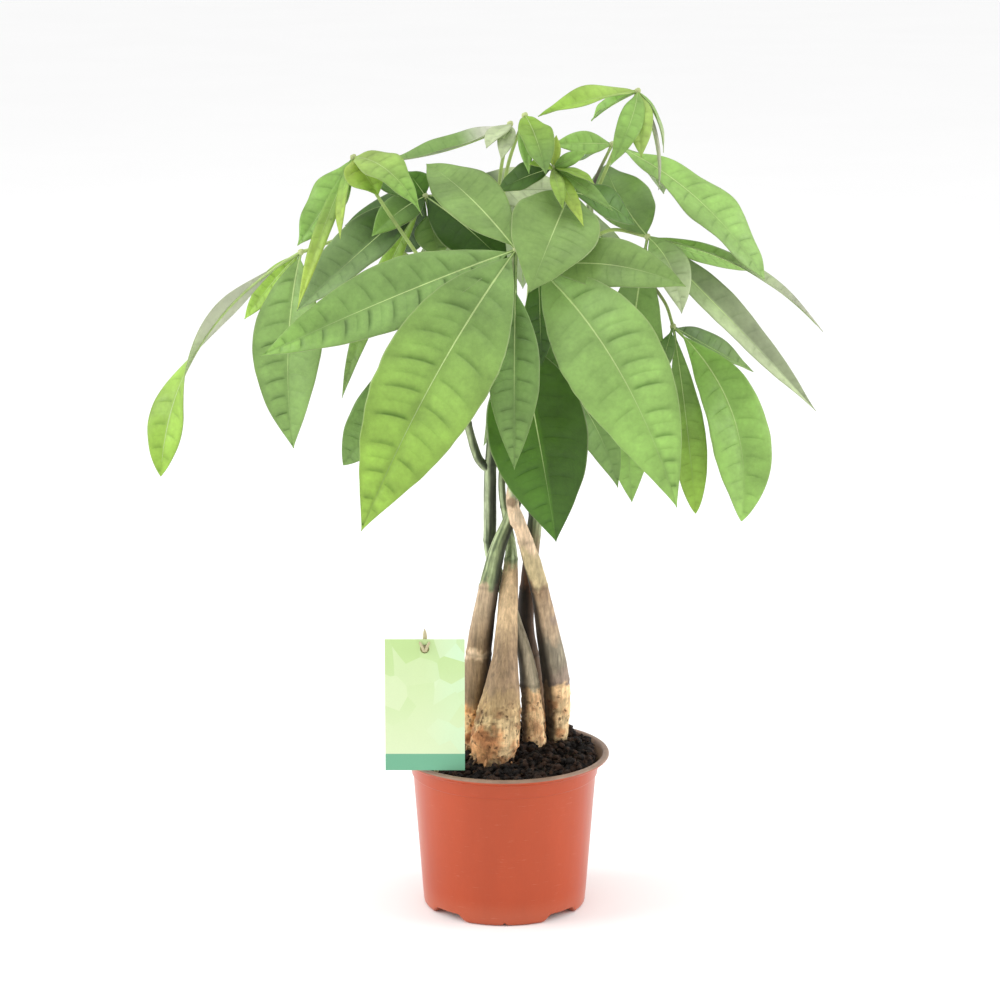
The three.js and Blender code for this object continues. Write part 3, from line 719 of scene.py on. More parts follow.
@dataclass(frozen=True)
class Blade:
    """One leaflet, from its leaf's hub to its tip, in millimetres and degrees.

    tip: where it ends. width: how wide it is at most. bow: how far it arches. faces: the way its upper
    side looks, or None for up and outwards. sway: how far its rib bends sideways. roll and twist: how far
    it turns about its rib, in all and towards the tip. fold: how far each half lifts from flat. bare: the
    share of its length with no blade. taper: how slowly it opens from the hub and closes to the tip. tone
    and end: its colour at the hub and the tip. turn: the shares between which one becomes the other. bars:
    how strongly the side veins crease each half, left and right as seen with the tip down, which also sets
    how dark the painted shade in the creases is and how much painted light the swellings get. quilt: how
    far it swells between them. ruffle: how far its edges wave, as a share of its width. halves: the painted
    light and shade of each half, as a factor on its colour.
    """

    tip: Point
    width: float
    bow: float
    faces: Point | None = None
    sway: float = 0
    roll: float = 0
    twist: float = 0
    fold: float = 12
    bare: float = 0.03
    taper: tuple[float, float] = (1.0, 1.15)
    tone: Tone = Tone.GREEN
    end: Tone | None = None
    turn: tuple[float, float] = (0.1, 0.95)
    bars: tuple[float, float] = (0.5, 0.5)
    quilt: float = 0.28
    ruffle: float = 0.02
    halves: tuple[float, float] = (1.0, 1.0)

    THICKNESS = 0.34
    STALK_WIDTH, TIP_WIDTH = 1.6, 0.3
    CELL = 1.5  # millimetres of blade to a face
    TROUGH = 0.06  # how far from the rib the fold is rounded, as a share of the half
    DROOP, RAGGED = -0.05, 0.03  # how far the edges turn down, and how uneven they are
    VEINS, CLOSEST = 21, 4.0  # side veins to a blade, and millimetres between them at the least
    CROWD = 0.22  # how much closer they stand towards the tip
    SWEEP = (0.04, 0.3)  # how far they run on towards the tip, straight and curved
    STRONG, WEAK = (0.5, 1.2), (0.0, 0.4)  # how deep every other one is, and the ones between
    WIDE, NARROW = 0.75, 0.25  # how much the quilting swells between the strong ones, and between all
    PEAK = 0.75  # under 1, each swelling is highest towards the hub
    CONTRAST, EVEN = 0.28, 0.45  # how much painted light the swellings get, and how full one is to look plain
    RIB, RIB_TIP, RIB_SUNK = 0.8, 0.3, 0.45

    def outline(self, share: float) -> float:
        """Returns how wide the blade is at a share of its length, from 0 at both ends to 1."""
        base, tip = self.taper
        widest = base / (base + tip)
        return (share / widest) ** base * ((1 - share) / (1 - widest)) ** tip

    def line(self, hub: Vector) -> tuple[Callable, Callable, Vector]:
        """Works out the rib's line.

        Args:
            hub: where it starts.

        Returns:
            Its point at a share, its direction there, and the way the blade's upper side looks.
        """
        end = Vector(self.tip)
        middle = (hub + end) / 2
        chord = (end - hub).normalized()
        outwards = Vector((middle.x, middle.y, 0)).normalized()
        facing = Vector(self.faces).normalized() if self.faces else (outwards + UP).normalized()
        rise = (facing - chord * facing.dot(chord)).normalized()
        bent = middle + rise * self.bow + rise.cross(chord) * self.sway

        def at(share: float) -> Vector:
            """Returns the rib's point at a share."""
            return hub * (1 - share) ** 2 + bent * (2 * share * (1 - share)) + end * share**2

        def along(share: float) -> Vector:
            """Returns the rib's direction at a share."""
            return ((bent - hub) * (1 - share) + (end - bent) * share).normalized()

        return at, along, facing

    def _strengths(self, side: int, count: int, luck: random.Random) -> list[float]:
        """Returns how deep each side vein of a half is: every other one is strong."""
        depths = (self.STRONG, self.WEAK)
        return [self.bars[side] * luck.uniform(*depths[(i + side) % 2]) for i in range(count)]

    def _stations(self, hub: Vector, rows: int) -> list[tuple[float, Vector, Vector, Vector, float]]:
        """Returns the cross-sections: share, middle, the ways up and across, and half the width."""
        at, along, facing = self.line(hub)
        stations = []
        for row in range(rows + 1):
            share = row / rows
            tangent = along(share)
            normal = (facing - tangent * facing.dot(tangent)).normalized()
            normal = Quaternion(tangent, math.radians(self.roll + self.twist * share)) @ normal
            blade = min(max((share - self.bare) / (1 - self.bare), 0), 1)
            width = max(mix(self.STALK_WIDTH, self.TIP_WIDTH, share), self.width * self.outline(blade))
            stations.append((share, at(share), normal, normal.cross(tangent), width / 2))
        return stations

    def build(self, work: Workpiece, hub: Vector, luck: random.Random) -> None:
        """Adds the blade and its rib.

        Args:
            work: the mesh.
            hub: where the leaflet starts.
            luck: the source of random draws.
        """
        length = (Vector(self.tip) - hub).length
        columns = max(6, 2 * round(self.width / self.CELL / 2))
        rows = max(12, round(length / self.CELL))
        first, last = paint(self.tone.value), paint((self.end or self.tone).value)
        stations = self._stations(hub, rows)
        wave, beat, lean = luck.uniform(0, 6.3), luck.uniform(1.6, 2.8), luck.uniform(-0.5, 0.5)
        spacing = max(length / self.VEINS, self.CLOSEST)
        count = round(length / spacing) + 4
        strengths = [self._strengths(side, count, luck) for side in (0, 1)]
        fold = math.radians(self.fold)
        places = {}
        for v, column, row in work.grid(columns, rows):
            share, centre, normal, sideways, half = stations[row]
            across = 2 * column / columns - 1
            reach, right = abs(across), across > 0
            rise = (math.hypot(reach, self.TROUGH) - self.TROUGH) * half * math.sin(fold)
            sweep = half * (self.SWEEP[0] * reach + self.SWEEP[1] * reach**2)
            crowded = share + self.CROWD * share * (share - 1)
            vein = 1.5 + (crowded * length - sweep) / spacing + (lean if right else 0)
            strength = strengths[right][min(max(round(vein), 0), count - 1)]
            wide, narrow = ((vein + right) / 2) % 1, vein % 1
            pillow = self.WIDE * math.sin(math.pi * wide**self.PEAK)
            pillow += self.NARROW * math.sin(math.pi * narrow**self.PEAK)
            pillow *= ramp(0.02, 0.25, reach) * ramp(1.0, 0.7, reach)
            swell = self.quilt * pillow * (0.5 + 0.8 * sum(self.bars) / 2)
            droop = self.DROOP * half * reach**4
            swing = math.sin(wave + share * beat * 6.3 + (2 if right else 0))
            ruffle = self.width * self.ruffle * swing * reach**2
            ragged = 1 + self.RAGGED * rough(Vector((share * length, 90 * wave, 40 * right)), 9)
            place = centre + sideways * (across * half * math.cos(fold) * ragged)
            lift = rise + (swell + ruffle + droop) * ramp(0, 0.15, share) * ramp(1, 0.85, share)
            v.co = (place + normal * (lift + self.THICKNESS / 2)) * MM
            # painted light and shade: the swellings between the side veins are painted lighter, and each
            # half lighter or darker by its factor
            painted_light = 1 + self.CONTRAST * (pillow - self.EVEN) * mix(0.4, 1.0, share) * self.bars[right]
            painted_light *= mix(1.0, self.halves[right], ramp(0.02, 0.12, reach))
            v[work.tint] = rgba(first.lerp(last, ramp(*self.turn, share)) * painted_light)
            # the vein's depth, which also sets how dark the shader paints its crease
            v[work.blade] = strength
            places[v] = (share, across, vein, normal)
        self._close(work, places)
        self._rib(work, stations[: round(rows * 0.97)])

    def _close(self, work: Workpiece, places: dict) -> None:
        """Gives the blade its underside and edge.

        Args:
            work: the mesh.
            places: for each vertex of the upper side, its share, side, vein count and normal.
        """
        bm = work.bm
        faces = list({f for v in places for f in v.link_faces})
        for face in faces:
            right = sum(places[v][1] for v in face.verts) > 0
            for loop in face.loops:
                share, across, vein, _ = places[loop.vert]
                if across == 0 and right:
                    beside = [places[v] for v in face.verts if places[v][0] == share]
                    vein = next(place[2] for place in beside if place[1] > 0)
                loop[work.veins].uv = (vein, abs(across))
        edges = list({e for f in faces for e in f.edges})
        copied = bmesh.ops.duplicate(bm, geom=list(places) + faces + edges)
        below = [g for g in copied["geom"] if isinstance(g, bmesh.types.BMFace)]
        for v in list(places):
            twin = copied["vert_map"][v]
            twin.co = v.co - places[v][3] * (self.THICKNESS * MM)
            twin[work.under] = 1.0
        bmesh.ops.reverse_faces(bm, faces=below)
        rims = {e for f in faces + below for e in f.edges if e.is_boundary}
        bmesh.ops.bridge_loops(bm, edges=list(rims))

    def _rib(self, work: Workpiece, stations: list) -> None:
        """Adds the rib, which stands out below the blade and shows as a pale line above it."""
        rings = []
        for share, centre, normal, sideways, _ in stations:
            radius = mix(self.RIB, self.RIB_TIP, share**1.2) * min(1.0, 0.45 + self.width / 50)
            sunk = centre - normal * radius * self.RIB_SUNK
            rings.append(Ring(sunk, radius, sideways.cross(normal), sideways, normal))
        rib, green = paint(Tone.RIB.value), paint(self.tone.value)
        ends = stations[0][1], stations[-1][1]

        def tint(place: Vector) -> Vector:
            """Lets the rib go green towards the tip."""
            far = (place - ends[0]).length / (ends[1] - ends[0]).length
            return rib.lerp(green, ramp(0.4, 0.9, far) * 0.8)

        work.rod(rings, 8, lambda row, angle, ring: ring.radius, tint)


@dataclass(frozen=True)
class Leaf:
    """A leaf: a stalk that rises from a shoot, and the blades that spread from its end."""

    name: str
    stalk: tuple[Point, ...]
    blades: tuple[Blade, ...]
    young: bool = False
    stem: Tone = Tone.STALK

    ROOT, END, KNOB = 1.4, 1.0, 1.9
    SLIM, FOOT_SWELL, HUB_SWELL = 0.86, 0.55, 0.35

    def build(self, materials: dict[str, Material], seed: int) -> Piece:
        """Makes the leaf.

        Args:
            materials: the leaf finishes by slot.
            seed: starts the random draws.

        Returns:
            The piece.
        """
        work, luck = Workpiece(), random.Random(seed)
        last = len(self.stalk) - 1
        route = Route(tuple((*p, mix(self.ROOT, self.END, i / last)) for i, p in enumerate(self.stalk)))
        steps = max(16, round(route.length() / 2))
        low, high = paint(self.stem.value), paint(Tone.STALK.value)
        foot, hub = Vector(self.stalk[0]), Vector(self.stalk[-1])

        def shape(row: int, angle: float, ring: Ring) -> float:
            """Swells the stalk at both ends."""
            share = row / steps
            foot, end = self.FOOT_SWELL * ramp(0.08, 0, share), self.HUB_SWELL * ramp(0.93, 1, share)
            return ring.radius * (self.SLIM + foot + end)

        def tint(place: Vector) -> Vector:
            """Pales the stalk towards its hub."""
            far = (place - foot).length / max((hub - foot).length, 1)
            return low.lerp(high, ramp(0.5, 1, far))

        work.rod(route.rings(steps), 10, shape, tint)
        ball = bmesh.ops.create_icosphere(work.bm, subdivisions=2, radius=self.KNOB * MM)["verts"]
        for v in ball:
            v.co = v.co * (1 + 0.16 * rough(v.co / MM, 1.1)) + hub * MM
            v[work.tint] = rgba(paint(Tone.HUB.value))
        for blade in self.blades:
            blade.build(work, hub, luck)
        slot = "leaf_young" if self.young else "leaf"
        return work.finish(f"fine_{self.name}", self.name, slot, [materials[slot]])


def fan(
    hub: Point, heading: float, arc: float, count: int, length: float, droop: float
) -> tuple[Blade, ...]:
    """Spreads blades about a heading, the middle one longest.

    Args:
        hub: where they start.
        heading: the middle blade's way, in degrees from +X.
        arc: the angle from the first blade to the last.
        count: how many there are.
        length: the middle blade's length.
        droop: how steeply they fall, in degrees.

    Returns:
        The blades.
    """
    shorter, tilt, wide, bowed = 1.1, 14, 0.3, 0.15
    blades = []
    for i in range(count):
        off = i / (count - 1) - 0.5
        reach = length * (1 - shorter * off * off)
        angle = math.radians(heading + off * arc)
        flat = reach * math.cos(math.radians(droop))
        fall = reach * math.sin(math.radians(droop + tilt * off))
        tip = (hub[0] + flat * math.cos(angle), hub[1] + flat * math.sin(angle), hub[2] - fall)
        blades.append(Blade(tip, reach * wide, reach * bowed, end=Tone.FRESH if i % 2 else None))
    return tuple(blades)


T = Tone
LEAVES = (
    Leaf("leaf_front", ((12, -12, 338), (13, -42, 374), (6, -75, 390)), (
        Blade((-43, -10, 428), 34, 14, (-0.1, -0.4, 0.6), tone=T.MUTED, bars=(0.25, 0.2), quilt=0.25),
        Blade((-129, -94, 336), 41, 20, (-0.4, -0.6, 0.3), sway=7, end=T.FRESH, turn=(0.5, 1),
              bars=(0.6, 1.0), quilt=0.4),
        Blade((-75, -137, 251), 60, 34, (-0.05, -0.9, 0.35), sway=-5, end=T.LIME, bars=(1.1, 0.6),
              quilt=0.4),
        Blade((5, -114, 279), 28, 18, (-0.05, -0.8, 0.2), bare=0.2, tone=T.MID, end=T.GREEN,
              bars=(0.8, 0.8)),
    )),
    Leaf("leaf_front_right", ((29, 9, 360), (32, -24, 384), (18, -58, 378)), (
        Blade((90, -130, 262), 54, 30, (-0.15, -0.9, 0.4), sway=19, taper=(0.9, 1.15), tone=T.SOFT,
              end=T.SPRING, bars=(0.3, 1.0)),
        Blade((96, -80, 371), 32, 12, (0.1, -0.6, 0.5), sway=7, tone=T.MUTED, bars=(0.3, 0.3)),
        Blade((20, -46, 322), 17, 2, (0, -1, 0.2), tone=T.SHADY, end=T.SHADOWED),
    )),
    Leaf("leaf_top_front", ((32, -3, 393), (38, -15, 402), (36, -28, 415)), (
        Blade((13, -93, 370), 49, 16, (0.15, -0.5, 0.6), tone=T.MUTED, bars=(0.15, 0.3), quilt=0.2),
        Blade((71, -14, 395), 24, 8, (0.2, -0.5, 0.6), tone=T.DEEP),
    )),
    Leaf("leaf_top_young", ((33, -9, 404), (28, -17, 418), (26, -29, 428)), (
        Blade((42, -64, 401), 9, 5, (0, -0.5, 0.8), tone=T.LIME, end=T.YELLOW),
        Blade((28, -22, 445), 7, 2, (0, -1, 0), tone=T.YELLOW),
        Blade((13, -46, 432), 9, 4, tone=T.LIME),
        Blade((48, -50, 422), 11, 4, tone=T.LIME),
        Blade((31, -62, 410), 8, 4, (0, -0.6, 0.8), tone=T.BUTTER, end=T.LIME),
        Blade((45, -34, 438), 8, 3, (0.2, -0.8, 0.4), tone=T.SPRING),
        Blade((58, -54, 408), 9, 6, (0.2, -0.8, 0.4), tone=T.SPRING, end=T.GREEN),
        Blade((-4, -24, 415), 20, 3, (0, -0.6, 0.8), tone=T.SHADOWED, end=T.DEEP),
    ), young=True),
    Leaf("leaf_shaded", ((10, -6, 296), (14, -18, 325), (7, -27, 337)), (
        Blade((28, -64, 228), 56, 14, (0, -1, 0.1), sway=2, tone=T.SHADY, bars=(0.6, 0.3), quilt=0.35,
              halves=(1.0, 0.62)),
        Blade((63, -22, 249), 30, 16, (0.3, -0.8, 0.3), sway=12, tone=T.DEEP, end=T.GREEN),
    )),
    Leaf("leaf_crown_long", ((-4, 1, 400), (-2, 2, 424), (3, -1, 449)), (
        Blade((-66, 2, 428), 22, -8, (0, -0.3, 1), fold=30, tone=T.CHALK, end=T.GREEN, turn=(0.15, 0.45),
              bars=(0.3, 0.3)),
        Blade((-10, -30, 439), 13, 4, (-0.3, -0.6, 0.6), tone=T.PALE, bars=(0.3, 0.3)),
        Blade((-2, -34, 433), 10, 4, (0, -0.9, 0.3), tone=T.PALE, bars=(0.3, 0.3)),
    )),
    Leaf("leaf_crown_young", ((-2, -1, 402), (2, -8, 428), (11, -14, 455)), (
        Blade((22, -50, 427), 20, 8, (0.2, -0.8, 0.4), ruffle=0.05, quilt=0.4, fold=20, tone=T.LIME,
              end=T.GREEN),
        Blade((13, -46, 427), 9, 4, (-0.2, -0.8, 0.4), tone=T.FRESH),
    ), young=True),
    Leaf("leaf_crown_right", ((47, 6, 402), (58, 5, 428), (73, 0, 467)), (
        Blade((18, -20, 455), 18.5, 6, (-0.2, -0.5, 0.8), sway=3, fold=30, ruffle=0.05, quilt=0.4,
              tone=T.BUTTER, end=T.LIME),
        Blade((48, 14, 449), 13, 6, (-0.2, -0.5, 0.8), sway=5, ruffle=0.05, quilt=0.4, fold=40,
              tone=T.SPRING),
        Blade((57, -35, 430), 14, 9, (0, -0.9, 0.4), sway=5, ruffle=0.05, quilt=0.4, tone=T.SPRING),
        Blade((74, -30, 434), 15, 6, (0, -0.9, 0.4), ruffle=0.05, quilt=0.4, tone=T.BUTTER),
        Blade((84, -20, 415), 5, 8, fold=40, tone=T.GREY),
        Blade((87, -8, 434), 13, 8, taper=(0.7, 1.3), tone=T.SPRING, end=T.PALE),
    ), young=True),
    Leaf("leaf_right_high", ((47, 7, 392), (49, 14, 412), (60, 25, 435)), (
        Blade((143, -16, 365), 36, 22, (0.4, -0.5, 0.6), ruffle=0.04, quilt=0.45, taper=(1.3, 1),
              tone=T.SPRING, end=T.SOFT, halves=(1.0, 1.12)),
        Blade((27, 14, 436), 15, 2, (0, -0.7, 0.5), tone=T.SPRING),
        Blade((41, 60, 421), 11, 1, (0, -0.6, 0.6), tone=T.DEEP),
        Blade((92, 82, 400), 28, 10),
    ), stem=T.PURPLE),
    Leaf("leaf_right", ((47, 7, 384), (60, 3, 390), (79, -4, 387)), (
        Blade((177, -5, 334), 14, 22, (0.2, -0.3, 0.9), fold=25, tone=T.SPRING, end=T.GREY),
        Blade((170, -45, 297), 25, 8, (0.4, -0.6, 0.5), sway=-5, fold=20, taper=(0.8, 1.2), end=T.PALE,
              turn=(0.0, 0.7), bars=(0.3, 0.3), halves=(1.05, 0.66)),
        Blade((96, -46, 351), 21, 8, (0, -0.8, 0.5), sway=8, tone=T.SOFT, end=T.PALE),
        Blade((72, 4, 235), 38, 6, (0, -1, 0.2), sway=-11, taper=(1, 1), end=T.SPRING, bars=(0.3, 0.3)),
        Blade((58, 56, 420), 36, 6, (0, -0.5, 0.9), sway=9, taper=(0.8, 1.1), bars=(0.1, 0.1)),
        Blade((142, 30, 363), 15, -2, (0.1, -0.6, 0.7), tone=T.SPRING),
    )),
    Leaf("leaf_right_low", ((46, 7, 368), (72, 20, 366), (89, 12, 349), (94, 0, 336)), (
        Blade((141, 24, 306), 21, 1, (0.3, -0.4, 0.7), sway=-2, fold=25, tone=T.MID, end=T.MUTED,
              halves=(1.0, 0.8)),
        Blade((131, -36, 233), 37, 24, (0.35, -0.9, 0.2), sway=22, ruffle=0.04, bare=0.05,
              taper=(1.1, 0.85), tone=T.FRESH, end=T.SPRING, bars=(0.4, 0.4)),
        Blade((106, -30, 236), 20, 8, (0.2, -1, 0.1), taper=(1.2, 0.8), end=T.LIME, bars=(0.3, 0.3)),
        Blade((86, -28, 311), 10, 7, (-0.2, -0.8, 0.2), bare=0.15, tone=T.DEEP, end=T.DUSK),
    ), stem=T.PURPLE),
    Leaf("leaf_left_high", ((-33, 14, 340), (-42, -12, 368), (-66, -30, 408), (-82, -30, 434)), (
        Blade((-112, -45, 388), 25, 3, (-0.4, -0.7, 0.5), sway=5, ruffle=0.05, quilt=0.5, tone=T.SPRING,
              end=T.FRESH, bars=(0.9, 0.9)),
        Blade((-111, -68, 357), 10, 8, (-0.3, -0.8, 0.4), tone=T.FRESH, end=T.YELLOW),
        Blade((-88, -62, 394), 9, 6, tone=T.FRESH, end=T.YELLOW),
        Blade((-68, -52, 416), 23, 3, (0, -0.7, 0.6), ruffle=0.05, quilt=0.4, tone=T.YELLOW, end=T.LIME,
              bars=(0.7, 0.7)),
        Blade((-44, -60, 406), 23, 22, (0, -0.5, 0.8), ruffle=0.05, quilt=0.4, taper=(0.9, 1.6),
              tone=T.BUTTER, end=T.FRESH, bars=(0.8, 0.8)),
        Blade((-50, -12, 410), 19, 2, (0, -0.7, 0.6), tone=T.DEEP),
    ), young=True),
    Leaf("leaf_left", ((-36, 15, 374), (-37, 14, 392), (-44, 8, 408)), (
        Blade((-114, -25, 349), 36, 8, (-0.2, -0.6, 0.7), sway=4, fold=22, tone=T.SHADOWED, end=T.DUSK,
              turn=(0.25, 0.6), bars=(0.4, 0.4)),
        Blade((-90, 34, 388), 22, 3, (0, -0.6, 0.8), tone=T.SHADOWED, bars=(0.2, 0.2)),
        Blade((-73, -16, 389), 20, 8, (0, -0.7, 0.6), tone=T.SHADOWED, end=T.FRESH, bars=(0.2, 0.2)),
        Blade((2, -16, 372), 36, 8, (0, -0.7, 0.6), tone=T.SHADOWED, bars=(0.2, 0.2)),
        Blade((38, 32, 408), 32, 5, (0, -0.6, 0.8), taper=(1.5, 1), tone=T.SHADOWED, end=T.PALE,
              turn=(0.4, 0.6)),
        Blade((-61, 40, 372), 26, 5, (0, -0.9, 0.4), tone=T.SHADOWED),
        Blade((-92, 18, 292), 14, 19, (-0.3, -0.8, 0.4), tone=T.LIME, end=T.MUTED),
        Blade((-54, 14, 421), 16, 2, (0, -0.8, 0.5), tone=T.SHADY),
        Blade((-36, -12, 376), 22, 3, (0, -0.9, 0.4), bare=0.3, tone=T.MID, end=T.MUTED),
    )),
    Leaf("leaf_left_far", ((-35, 14, 358), (-75, 10, 386), (-113, 0, 378)), (
        Blade((-191, -25, 256), 30, 40, (-0.6, 0, 0.6), roll=116, twist=-200, taper=(1.8, 0.9),
              tone=T.CHALK, end=T.LIME, turn=(0.42, 0.6)),
        Blade((-146, 14, 338), 14, 6, (0, -0.8, 0.5), tone=T.LIME),
        Blade((-117, -25, 272), 41, 10, (-0.3, -1, 0.1), sway=-7, tone=T.SOFT, bars=(1.0, 0.2), quilt=0.35),
    )),
    Leaf("leaf_left_low", ((-28, 13, 305), (-36, 22, 328), (-42, 25, 333)), (
        Blade((-91, 5, 256), 30, 10, (-0.3, -0.9, 0.2), sway=7, taper=(1.4, 0.9), tone=T.DEEP, end=T.GREEN),
        Blade((-74, 60, 290), 18, 10),
    )),
    Leaf("leaf_back", ((5, 31, 368), (8, 52, 392), (8, 76, 400)), fan((8, 76, 400), 88, 190, 5, 118, 36)),
    Leaf("leaf_back_left", ((5, 28, 345), (-6, 42, 356), (-20, 58, 350)),
         fan((-20, 58, 350), 108, 120, 3, 88, 54)),
    Leaf("leaf_back_right", ((26, 14, 330), (38, 34, 348), (52, 52, 346)),
         fan((52, 52, 346), 40, 170, 4, 86, 54)),
    Leaf("leaf_back_low", ((3, 22, 300), (12, 38, 312), (20, 56, 308)),
         fan((20, 56, 308), 80, 170, 4, 82, 56)),
)


# ---------------------------------------------------------------- trunks


class Bark(Enum):
    """Bark colours."""

    SHOOT = 0x8D9A70
    PALE_SHOOT = 0xA0AA88
    STRIPED = 0x8E9A6E
    LICHEN = 0xB4A78C
    STREAK_PALE = 0xB9C79C
    STREAK_DARK = 0x445638
    PALE_TAN = 0xB9A184
    PINK_TAN = 0xD8BC9C
    TAN = 0x937A5E
    BUFF = 0xC6A983
    FIBRE = 0xAC9068
    OLIVE = 0x8C826E
    UMBER = 0x7C644B
    # painted shade: the back trunk's middle, painted as dark as it stands behind the others
    SHADE = 0x46321F
    DUSKY = 0x8E7B6C
    CORK = 0xEDB07A
    RUST = 0xB4784E
    AMBER = 0x9C6C4A
    PEACH = 0xFBD29E
    STRAW = 0xBBA980
    GOLD = 0xFADCA8
    SCAR = 0xC2AC90


@dataclass(frozen=True)
class Trunk:
    """A trunk with the shoot above it, in millimetres.

    stations: its line and radii. bands: the colour at each height, from the foot up. cork: the height that
    the cork of its foot reaches. scars: the heights of the rings that fallen leaves left. fork: the line
    and radii of its second limb. axis: the x and y of its shaded side, where it faces the other trunks.
    shade: how dark that side is. shaded: how far round it the shade begins, as a cosine. patches: x,
    height, size and colour of patches on its front. knots: x, height and size of the lumps on its front.
    """

    name: str
    stations: tuple[Station, ...]
    bands: tuple[tuple[float, Bark], ...]
    cork: float
    scars: tuple[float, ...]
    fork: tuple[Station, ...] = ()
    shade: float = 0.75
    shaded: float = 0.1
    axis: tuple[float, float] = (6, 9)
    patches: tuple[tuple[float, float, float, Bark], ...] = ()
    knots: tuple[tuple[float, float, float], ...] = ()

    SIDES, STEP = 56, 1.1
    SOIL = 90.5
    ROOTS, ROOT_CORK = 15, 0.6
    ROOT_REACH, ROOT_THICK = (1.2, 4.0), (0.5, 1.0)
    OVAL, CRUST = 0.04, 1.15  # how oval it is, and how far its cork stands out
    GREEN = (Bark.SHOOT, Bark.PALE_SHOOT, Bark.STRIPED)
    PALE_STREAKS, DARK_STREAKS, GRAIN = 0.75, 0.7, 0.3
    GOLDEN, RUSTY, PATCHY = 0.6, 0.5, 0.85  # how strongly these colours show
    OPEN = (330, 240)  # heights between which the shade of the other trunks comes in
    FURROWS, DIRT = 0.4, 0.5  # painted shade in the cork's furrows, and how much darker the bark is at the soil
    SCAR_RISE, SCAR_HALF, SCAR_DARK, SCAR_REACH = 0.34, 1.0, 0.66, 1.8

    def _band(self, height: float) -> tuple[Vector, float]:
        """Returns the band's colour at a height, and how streaked it is."""
        for (low, lower), (high, upper) in zip(self.bands, self.bands[1:]):
            if height < high:
                share = ramp(low, high, height)
                streaked = mix(lower in self.GREEN, upper in self.GREEN, share)
                return paint(lower.value).lerp(paint(upper.value), share), streaked
        return paint(self.bands[-1][1].value), float(self.bands[-1][1] in self.GREEN)

    def colour(self, place: Vector, local: Vector) -> Vector:
        """Returns the bark's colour at a place, local being its offset from the trunk's middle.

        The bands have uneven edges, the green ones run in long streaks, and the patches lie over them.
        """
        height = place.z + 6 * rough(Vector((place.x, place.y, place.z * 0.35)), 5) + 3 * rough(place, 2)
        found, streaked = self._band(height)
        grain = rough(Vector((local.x, local.y, place.z * 0.06)), 1.7)
        pale, dark = paint(Bark.STREAK_PALE.value), paint(Bark.STREAK_DARK.value)
        found = found.lerp(pale, self.PALE_STREAKS * streaked * ramp(0.02, 0.4, grain))
        found = found.lerp(dark, self.DARK_STREAKS * streaked * ramp(-0.02, -0.4, grain))
        found = found * (1 + self.GRAIN * grain * (1 - 0.6 * streaked))
        corky = ramp(self.cork + 6, self.cork - 10, place.z)
        blotch = rough(place + Vector((3, 50, 9)), 6) + 0.5 * rough(place, 2.2)
        found = found.lerp(paint(Bark.GOLD.value), self.GOLDEN * corky * ramp(0.05, 0.4, blotch))
        found = found.lerp(paint(Bark.RUST.value), self.RUSTY * corky * ramp(-0.1, -0.5, blotch))
        front = ramp(0.3, -0.4, local.normalized().y)
        for x, z, size, tone in self.patches:
            away = math.hypot(place.x - x, place.z - z) + size * 0.5 * rough(place, 3.5)
            found = found.lerp(paint(tone.value), self.PATCHY * front * ramp(size, size * 0.45, away))
        return found

    def _shade(self, place: Vector, outwards: Vector) -> float:
        """Returns how light the bark is: painted shade on its shaded side and furrows; darker at the soil.
        """
        inwards = (Vector((*self.axis, 0)) - Vector((place.x, place.y, 0))).normalized()
        hidden = ramp(self.shaded, self.shaded + 0.65, outwards.dot(inwards)) * ramp(*self.OPEN, place.z)
        cork = ramp(self.cork + 6, self.cork - 8, place.z)
        # painted shade in the furrows of the cork
        furrow_shade = ramp(0.05, -0.4, self._crust(place)) * cork
        near_soil = ramp(self.SOIL + 4, self.SOIL - 2, place.z + 3 * rough(place, 2.5))
        return (1 - self.shade * hidden) * (1 - self.FURROWS * furrow_shade) * (1 - self.DIRT * near_soil)

    def _crust(self, place: Vector) -> float:
        """Returns how far the cork stands out at a place, from -1 to 1."""
        apart = place + Vector((9, 2, 70))
        return 0.55 * rough(place, 6) + 0.55 * rough(apart, 2.8) + 0.3 * rough(place, 1.3)

    def _limb(self, work: Workpiece, stations: tuple[Station, ...]) -> None:
        """Adds one limb."""
        route = Route(stations)
        steps = round(route.length() / self.STEP)

        def shape(row: int, angle: float, ring: Ring) -> float:
            """Shapes the bark: a little oval, corky low down, with a ring at each scar."""
            height = ring.centre.z
            cork = ramp(self.cork + 14, self.cork - 8, height)
            spot = ring.centre + (ring.side * math.cos(angle) + ring.other * math.sin(angle)) * ring.radius
            lumps = 0.03 * rough(spot, 9) + 0.012 * rough(Vector((spot.x, spot.y, spot.z * 0.2)), 1.6)
            tilt = height + 1.2 * rough(spot, 7)
            raised = sum(
                self.SCAR_RISE * math.exp(-(((tilt - s) / self.SCAR_HALF) ** 2)) for s in self.scars
            )
            front = ramp(0.2, -0.5, (spot - ring.centre).normalized().y)
            for x, z, size in self.knots:
                away = math.hypot(spot.x - x, height - z) / size
                dimple = 1 - 0.8 * math.exp(-((away * 2.6) ** 2))
                raised += 0.5 * size * front * math.exp(-(away**2)) * dimple
            tip = min(1.0, ((steps - row) / 3) ** 0.5)
            whole = ring.radius * (1 + self.OVAL * math.sin(2 * angle) + lumps)
            return (whole + cork * self.CRUST * self._crust(spot) + raised) * tip

